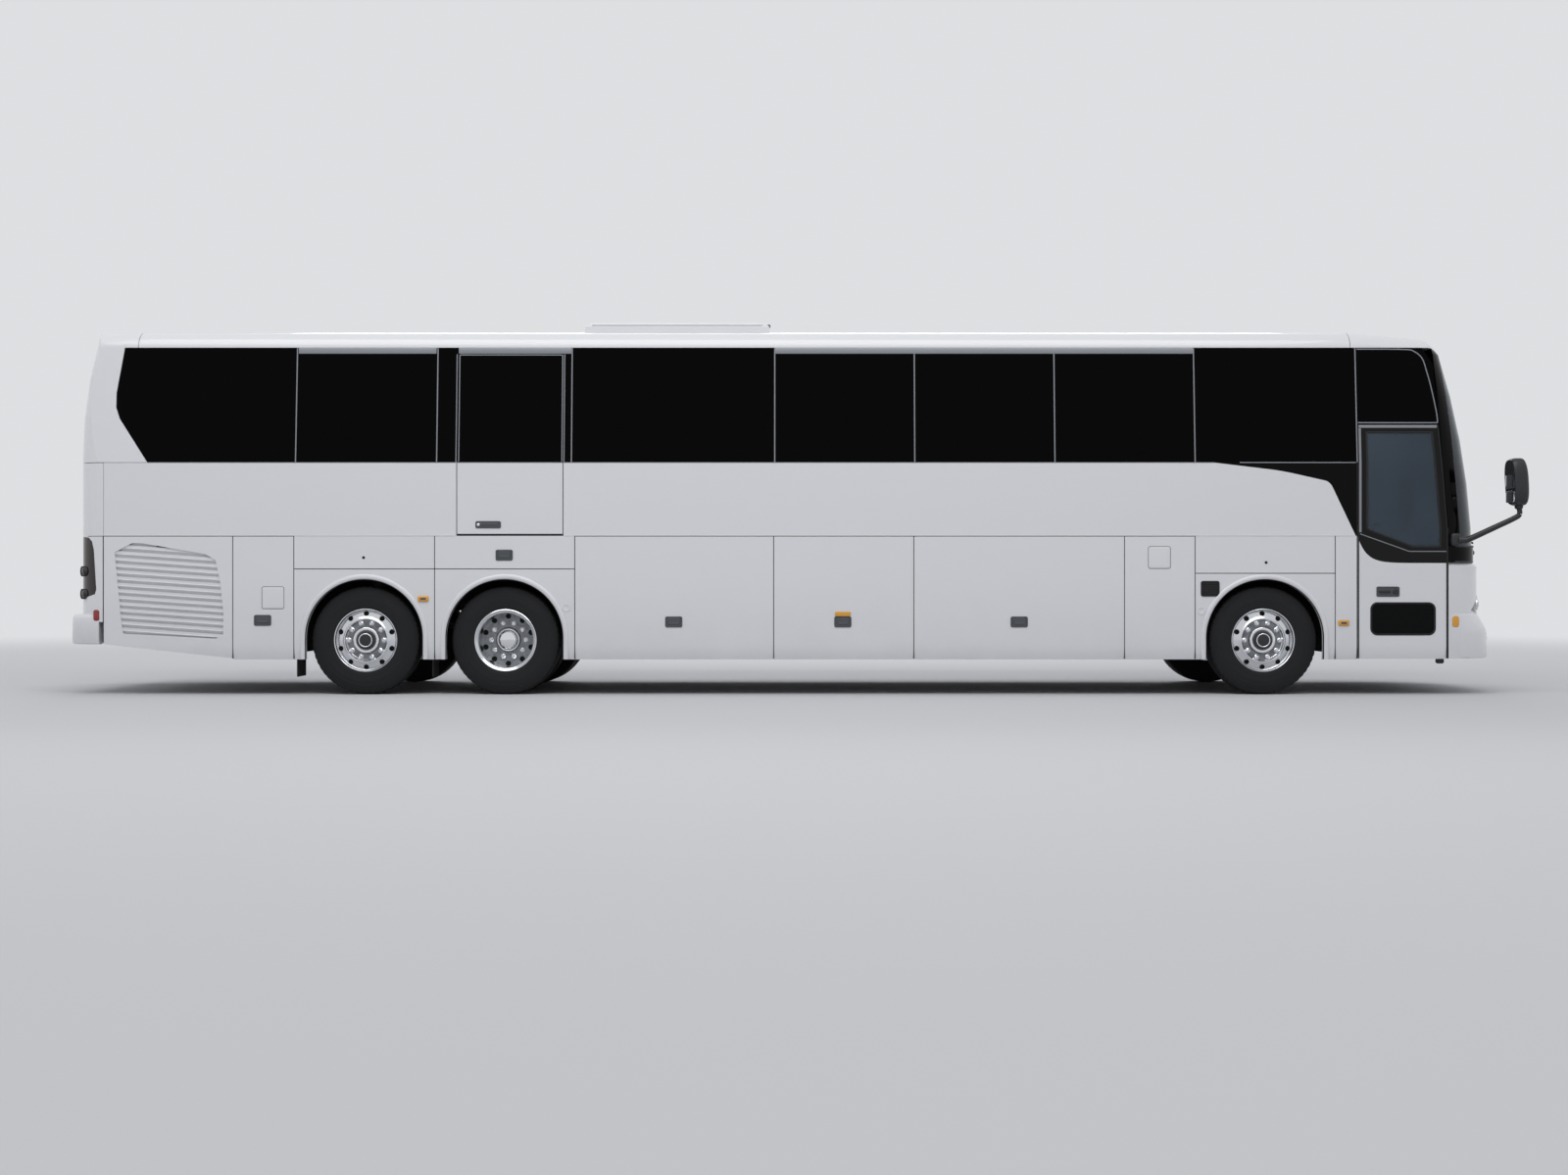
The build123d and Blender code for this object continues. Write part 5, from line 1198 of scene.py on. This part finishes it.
class COACH_OT_bumpers(Operator):
    """Front bumper with a sloping shoulder, rear bumper, and the mouldings under the windscreen"""
    bl_idname = "coach.bumpers"
    bl_label = "Bumpers"

    def execute(self, context):
        angles = np.linspace(-1.42, 1.42, 120)
        outer, inner = nose_line(*BUMPER, angles), nose_line(*FASCIA, angles)
        front = loft(np.stack([at_height(outer + share * (inner - outer), z)
                               for share, z in BUMPER_PROFILE], 1))
        piece("front_bumper_look", front, "white_paint", "white_paint", replaces=["front_bumper"], smooth=40)
        a = np.linspace(0, pi / 2, 14)
        turn = REAR_CORNER * np.stack([1 - np.sin(a), 1 - np.cos(a)], 1)
        half = np.concatenate([[(-6.64, -REAR_Y), (-6.69, -REAR_Y)], turn + (REAR_X, -REAR_Y)])
        normal = np.concatenate([[(0, -1), (0, -1)], np.stack([-np.sin(a), -np.cos(a)], 1)])
        across = np.linspace(-1.05, 1.05, 43)
        path, out = (np.concatenate([side, back, (side * (1, -1))[::-1]])
                     for side, back in ((half, np.stack([REAR_X + 0 * across, across], 1)),
                                        (normal, np.tile((-1, 0), (43, 1)))))
        drop = REAR_TOP_DROP * np.clip((1.075 - np.abs(path[:, 1])) / 0.05, 0, 1)
        drop[:len(half)] = drop[-len(half):] = 0
        rear = loft(np.stack([at_height(path - inset * out, z - drop * (z > 0.6))
                              for inset, z in REAR_PROFILE], 1))
        piece("rear_bumper_look", rear, "white_paint", "white_paint", replaces=["rear_bumper"], smooth=40)
        sweep = nose_line(6.792, SCREEN_CORNER, np.linspace(-1.3, 1.3, 90))
        for name, z, radius in (("screen_moulding", 1.427, 0.011), ("cowl_moulding", 1.279, 0.007)):
            piece(name, tube(at_height(sweep, z), radius, 10), "black_plastic", "black_plastic")
        return {"FINISHED"}


# the opening of the engine grille as (x, z), and sections of a blade and its lip as (inward, up)
GRILLE = np.array(((-6.49, 1.367), (-6.318, 1.458), (-6.218, 1.454), (-5.614, 1.349), (-5.52, 1.289),
                   (-5.477, 1.086), (-5.445, 0.785), (-5.448, 0.584), (-5.513, 0.541), (-6.405, 0.587),
                   (-6.419, 0.627)))
BLADE = np.array(((0.0118, -0.013), (0.016, -0.0165), (0.0235, -0.0225), (0.03, -0.0315), (0.0335, -0.042),
                  (0.0345, -0.048), (0.0385, -0.048), (0.037, -0.038), (0.032, -0.027), (0.024, -0.018),
                  (0.018, -0.013)))
BLADE_LIP = np.array([(0.0125 - 0.0045 * sin(k * pi / 5), -0.014 - 0.006 * cos(k * pi / 5))
                      for k in range(10)])
BLADE_PITCH = 0.061
BLADE_FALL = -np.tan(radians(4.0))
BLADE_MIDDLE_X = -5.96


def inside(outline, x, z):
    """Which points lie inside a closed (x, z) outline: an odd number of its edges passes to their right."""
    a, b = outline, np.roll(outline, -1, 0)
    x, z = x[:, None], z[:, None]
    crosses = (a[:, 1] > z) != (b[:, 1] > z)
    at = a[:, 0] + (z - a[:, 1]) / np.where(b[:, 1] == a[:, 1], 1e-9, b[:, 1] - a[:, 1]) * (b[:, 0] - a[:, 0])
    return (crosses & (x < at)).sum(1) % 2 == 1


class COACH_OT_louvres(Operator):
    """Sloping blades between the slats of the engine grilles, with rolled lips"""
    bl_idname = "coach.louvres"
    bl_label = "Louvres"

    def execute(self, context):
        x = np.linspace(-6.5, -5.43, 600)
        blades = []
        for level in 0.6 + BLADE_PITCH * np.arange(15):
            for section, middle in ((BLADE, -0.03), (BLADE_LIP, -0.014)):
                # short stumps at the opening's corners are left out
                keep = x[inside(GRILLE, x, level + middle + BLADE_FALL * (x - BLADE_MIDDLE_X))]
                if len(keep) < 20:
                    continue
                run = np.linspace(keep[0] - 0.004, keep[-1] + 0.004, 24)[:, None]
                z = level + BLADE_FALL * (run - BLADE_MIDDLE_X)
                blades.append(loft(np.stack([run + 0 * section[:, 0], section[:, 0] - wall_y(z),
                                             z + section[:, 1]], 2)))
        right = merged(blades)
        for body, part in (("grille_door_right", right), ("grille_door_left", mirrored(right))):
            piece(f"{body}_louvres", part, "white_paint", "white_paint", body, smooth=50)
        return {"FINISHED"}


# the panels' foot and head, the shut lines of both sides, and each seal's width, height over the skin and
# depth
PANEL_FOOT, PANEL_HEAD = 0.348, 1.519
SHUT_LINES = (-4.77, -3.42, -2.076, -0.169, 1.175, 3.195, 3.872, 5.215)
SEAL, DOOR_SEAL, REAR_SEAL, LIFT_SEAL = ((width, -0.002, 0.012) for width in (0.0074, 0.0064, 0.005, 0.0044))


class COACH_OT_seals(Operator):
    """Black rubber seals that fill the shut lines between the side panels"""
    bl_idname = "coach.seals"
    bl_label = "Panel seals"

    def execute(self, context):
        right = uprights((-5.355, *SHUT_LINES), PANEL_FOOT, PANEL_HEAD, *SEAL)
        for x, high in ((5.4255, 2.59), (6.2985, 1.6)):
            right += uprights([x], PANEL_FOOT, high, *DOOR_SEAL)
        right += uprights((-3.2065, -2.1905), 1.55, 2.224, *LIFT_SEAL)
        left = uprights(SHUT_LINES, PANEL_FOOT, PANEL_HEAD, *SEAL)
        shared = uprights([-6.6], 0.495, 2.222, *REAR_SEAL) + levels(1.522, [(-6.59, 5.419)], *REAR_SEAL)
        shared += levels(1.208, [(-4.766, -2.08)], *SEAL) + levels(1.166, [(3.876, 5.211)], *SEAL)
        piece("panel_seals", [*right, *[mirrored(part) for part in left], *both(shared)], "rubber", "rubber")
        return {"FINISHED"}


class COACH_OT_rear_fittings(Operator):
    """Slats, plate and handle of the engine lid, the rear window's gasket and the exhaust's tip"""
    bl_idname = "coach.rear_fittings"
    bl_label = "Rear fittings"

    def execute(self, context):
        def tail(y, z):
            return TAIL_X + 0 * y

        slats = [block((-6.862, -0.622, z - 0.018), (-6.845, 0.622, z + 0.01))
                 for z in 1.125 + 0.075 * np.arange(7)]
        bar = block((-6.886, -0.13, 0.79), (-6.868, 0.13, 0.825), 0.006)
        holder = face_plate(tail, -0.275, 0.275, 0.852, 0.992, -0.004, 0.018)
        blank = face_plate(tail, -0.26, 0.26, 0.866, 0.978, -0.007, 0.014)
        piece("lid_slats", slats, "black_plastic", "black_plastic", "engine_lid")
        piece("lid_plate", [holder, blank, bar], ["black_plastic", "white_paint", "recess"], "black_plastic",
              "engine_lid")
        y, z = frame_path(-0.98, 0.98, 2.42, 3.18, 0.09, 64).T
        x = TAIL_X + 4.02 - np.sqrt(4.02**2 - np.clip(z - 2.3, 0, None) ** 2)
        piece("rear_window_gasket", tube(np.stack([x - 0.001, y, z], 1), 0.011, 10, closed=True),
              "rubber", "rubber")
        exhaust = turned(((-0.22, 0.0), (-0.22, 0.055), (0.0, 0.055), (0.002, 0.052), (-0.003, 0.05),
                          (-0.18, 0.05), (-0.18, 0.0)), (-6.83, 0.78, 0.52), (-1, 0, -0.12), 32)
        piece("exhaust_tip", exhaust, "chrome", "chassis_iron")
        return {"FINISHED"}


# middles and radius of the roof unit's fans
FAN_PLACES = [(x, y, 3.668) for x in (-1.72, -1.32, -0.92, -0.52) for y in (-0.42, 0.42)]
FAN_RADIUS = 0.156


class COACH_OT_roof_fittings(Operator):
    """Fan guards, side rails and end caps of the roof unit, and the aerial"""
    bl_idname = "coach.roof_fittings"
    bl_label = "Roof fittings"

    def execute(self, context):
        guards, mouths = [], []
        circle = np.stack([np.cos(around(48)), np.sin(around(48)), np.zeros(48)], 1)
        for centre in FAN_PLACES:
            mouths.append(turned(((-0.01, 0.0), (-0.01, FAN_RADIUS), (0.0, FAN_RADIUS), (0.0007, 0.154),
                                  (0.0007, 0.0)), centre, (0, 0, 1), 48))
            for radius in (0.15, 0.122, 0.094, 0.066, 0.038):
                guards.append(tube(circle * radius + centre - (0, 0, 0.0012), 0.0032, 6, closed=True))
            for a in around(6):
                spoke = np.array((cos(a), sin(a), 0))
                path = [spoke * r + centre - (0, 0, 0.0014) for r in (0.02, FAN_RADIUS)]
                guards.append(tube(path, 0.0032, 6))
        ribs = [block((x, y, 3.606), (x + 0.06, y + 0.155, 3.617)) for x in -1.96 + 0.106 * np.arange(17)
                for y in (-0.855, 0.7)]
        rails = [tube(((-1.95, y, 3.604), (-0.28, y, 3.604)), 0.014, 12) for y in (-0.935, 0.935)]
        caps = [pillow((x, 0, 3.6), (0.09, 1.84, 0.05), 5.0, (40, 16)) for x in (-1.965, -0.266)]
        piece("fan_guards", [mouths, guards], ["rubber", "grey_rail"], "black_plastic")
        piece("roof_unit_grilles", ribs, "recess", "black_plastic")
        piece("roof_unit_rails", [*rails, *caps], "white_paint", "white_paint")
        aerial = turned(((-0.02, 0.0), (-0.02, 0.03), (0.004, 0.028), (0.01, 0.012), (0.07, 0.005),
                         (0.078, 0.0)), (5.431, 0, 3.578), (0, 0, 1), 24)
        piece("aerial", aerial, "white_paint", "white_paint")
        return {"FINISHED"}


class COACH_OT_cab_fittings(Operator):
    """Steering wheel with its spokes, boss and column"""
    bl_idname = "coach.cab_fittings"
    bl_label = "Cab fittings"

    def execute(self, context):
        low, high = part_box("steering_wheel")
        centre = np.array([low[0] + 0.1975, 0.64, high[2] - 0.11])
        top, across = np.array([-0.5, 0, 0.866]), np.array([0.0, 1, 0])
        along = np.cross(top, across)
        a = around(56)[:, None]
        rim = tube(centre + 0.22 * (np.cos(a) * along + np.sin(a) * across), 0.0145, 12, closed=True)
        spokes = [tube((centre - 0.01 * top, centre + 0.212 * (cos(a) * along + sin(a) * across)), 0.013, 10,
                       flatten=1.6) for a in (0.0, pi / 2 + 0.25, -pi / 2 - 0.25)]
        boss = turned(((-0.035, 0.0), (-0.035, 0.055), (0.0, 0.062), (0.012, 0.05), (0.018, 0.0)),
                      centre, top, 32)
        column = turned(((-0.29, 0.0), (-0.29, 0.042), (-0.03, 0.038), (-0.03, 0.0)), centre, top, 24)
        piece("steering_wheel_look", [rim, *spokes, boss, column], "cab_plastic", "cab_plastic",
              replaces=["steering_wheel"], smooth=45)
        return {"FINISHED"}


# ---------------------------------------------------------------- stage
# lights as (name, place, target, size, share of the key light's power)
LIGHTS = (("key", (-1, -9, 13), (0, 0, 0.8), (20, 8), 1.0),
          ("front", (19, -2, 8), (6, 0, 1.8), (9, 7), 0.26),
          ("rear", (-19, -2, 8), (-6, 0, 1.8), (9, 7), 0.26),
          ("back", (0, 12, 11), (0, 0, 1.5), (18, 6), 0.7))
FLOOR_REACH = 80.0
SENSOR_WIDTH = 36.0


def area_light(name, place, target, size, power):
    """A large soft light that looks at a point."""
    data = bpy.data.lights.new(name, "AREA")
    data.shape = "RECTANGLE"
    data.size, data.size_y = size
    data.energy = power
    obj = new_object(name, data)
    z = np.array(place, float) - target
    z /= np.linalg.norm(z)
    x = np.cross((0, 0, 1), z)
    x /= np.linalg.norm(x)
    axes = np.stack([x, np.cross(z, x), z], 1)
    obj.matrix_world = Matrix([[*row, p] for row, p in zip(axes, place)] + [[0, 0, 0, 1]])
    return obj


def seen_directly(tree):
    """One for what the camera sees straight, in metal or through glass; nought for the light on the coach."""
    path = node(tree, "LightPath").outputs
    first = node(tree, "Math", {"operation": "MAXIMUM"},
                 {0: path["Is Camera Ray"], 1: path["Is Transmission Ray"]})
    return node(tree, "Math", {"operation": "MAXIMUM"},
                {0: first.outputs[0], 1: path["Is Glossy Ray"]}).outputs[0]


class COACH_OT_stage(Operator):
    """Pale floor and background, soft lights and the camera"""
    bl_idname = "coach.stage"
    bl_label = "Stage"

    def execute(self, context):
        scene, settings = context.scene, context.scene.coach_stage
        back = linear(settings.back_colour)
        mesh = bpy.data.meshes.new("floor")
        s = FLOOR_REACH
        mesh.from_pydata([(-s, -s, 0), (s, -s, 0), (s, s, 0), (-s, s, 0)], [], [(0, 1, 2, 3)])
        floor = new_object("floor", mesh)
        m, tree, bsdf = plain("pale floor", settings.floor_colour, Roughness=0.8, Specular_IOR_Level=0.1)
        mesh.materials.append(m)
        # the floor fades into the backdrop with distance, so no horizon shows
        place = node(tree, "TexCoord").outputs["Object"]
        distance = node(tree, "VectorMath", {"operation": "LENGTH"}, {0: place}).outputs["Value"]
        fade = node(tree, "MapRange", {"interpolation_type": "SMOOTHSTEP", "From Min": 8.0,
                                       "From Max": 26.0}, {"Value": distance})
        glow = node(tree, "Emission", {"Color": back, "Strength": 1.0})
        amount = node(tree, "Math", {"operation": "MULTIPLY"},
                      {0: fade.outputs["Result"], 1: seen_directly(tree)})
        faded = node(tree, "MixShader", {}, {0: amount.outputs[0], 1: bsdf.outputs[0], 2: glow.outputs[0]})
        output = next(n for n in tree.nodes if n.type == "OUTPUT_MATERIAL")
        tree.links.new(faded.outputs[0], output.inputs["Surface"])
        world = bpy.data.worlds.new("backdrop")
        world.use_nodes = True
        tree = world.node_tree
        tree.nodes.clear()
        pale = node(tree, "Background", {"Color": back, "Strength": 1.0})
        light = node(tree, "Background", {"Color": linear("#e2e5ea"), "Strength": settings.sky_strength})
        mix = node(tree, "MixShader", {}, {0: seen_directly(tree), 1: light.outputs[0], 2: pale.outputs[0]})
        node(tree, "OutputWorld", {}, {"Surface": mix.outputs[0]})
        scene.world = world
        for name, at, target, size, share in LIGHTS:
            lamp = area_light(name, at, target, size, settings.key_power * share)
            # no bright squares of the end lights in the windscreen and the rear window
            lamp.visible_glossy = name not in ("front", "rear")
        camera = bpy.data.cameras.new("camera")
        camera.lens = settings.lens
        camera.sensor_width = SENSOR_WIDTH
        camera.clip_end = 200.0
        camera.dof.use_dof = False
        scene.camera = new_object("camera", camera)
        level = Matrix.Rotation(pi / 2, 4, "X")
        scene.camera.matrix_world = Matrix.Translation(settings.camera_place) @ level
        scene.view_settings.view_transform = "Standard"
        return {"FINISHED"}


class COACH_PT_panel(Panel):
    """Buttons for each group of pieces, with their sizes and colours"""
    bl_label = "Coach looks"
    bl_idname = "COACH_PT_panel"
    bl_space_type = "VIEW_3D"
    bl_region_type = "UI"
    bl_category = "Coach"

    def draw(self, context):
        for operator in OPERATORS:
            self.layout.operator(operator.bl_idname)
        for name, group in SETTINGS:
            box = self.layout.box()
            for key in group.__annotations__:
                box.prop(getattr(context.scene, name), key)


SETTINGS = (("coach_stage", StageSettings), ("coach_paint", PaintSettings), ("coach_wheels", WheelSettings),
            ("coach_seats", SeatSettings))
OPERATORS = (COACH_OT_stage, COACH_OT_frame_materials, COACH_OT_tyres, COACH_OT_rims, COACH_OT_seats,
             COACH_OT_glass_trim, COACH_OT_lift_door_trim, COACH_OT_entrance_door_trim, COACH_OT_arch_lips,
             COACH_OT_panel_fittings, COACH_OT_lamps, COACH_OT_mirrors, COACH_OT_wipers,
             COACH_OT_front_fittings, COACH_OT_bumpers, COACH_OT_louvres, COACH_OT_seals,
             COACH_OT_rear_fittings, COACH_OT_roof_fittings, COACH_OT_cab_fittings)


def register():
    for name, group in SETTINGS:
        bpy.utils.register_class(group)
        setattr(bpy.types.Scene, name, PointerProperty(type=group))
    for shown in (*OPERATORS, COACH_PT_panel):
        bpy.utils.register_class(shown)


def unregister():
    for shown in (COACH_PT_panel, *reversed(OPERATORS)):
        bpy.utils.unregister_class(shown)
    for name, group in reversed(SETTINGS):
        delattr(bpy.types.Scene, name)
        bpy.utils.unregister_class(group)


def main():
    register()
    for operator in OPERATORS:
        group, call = operator.bl_idname.split(".")
        getattr(getattr(bpy.ops, group), call)()


if __name__ == "__main__":
    main()
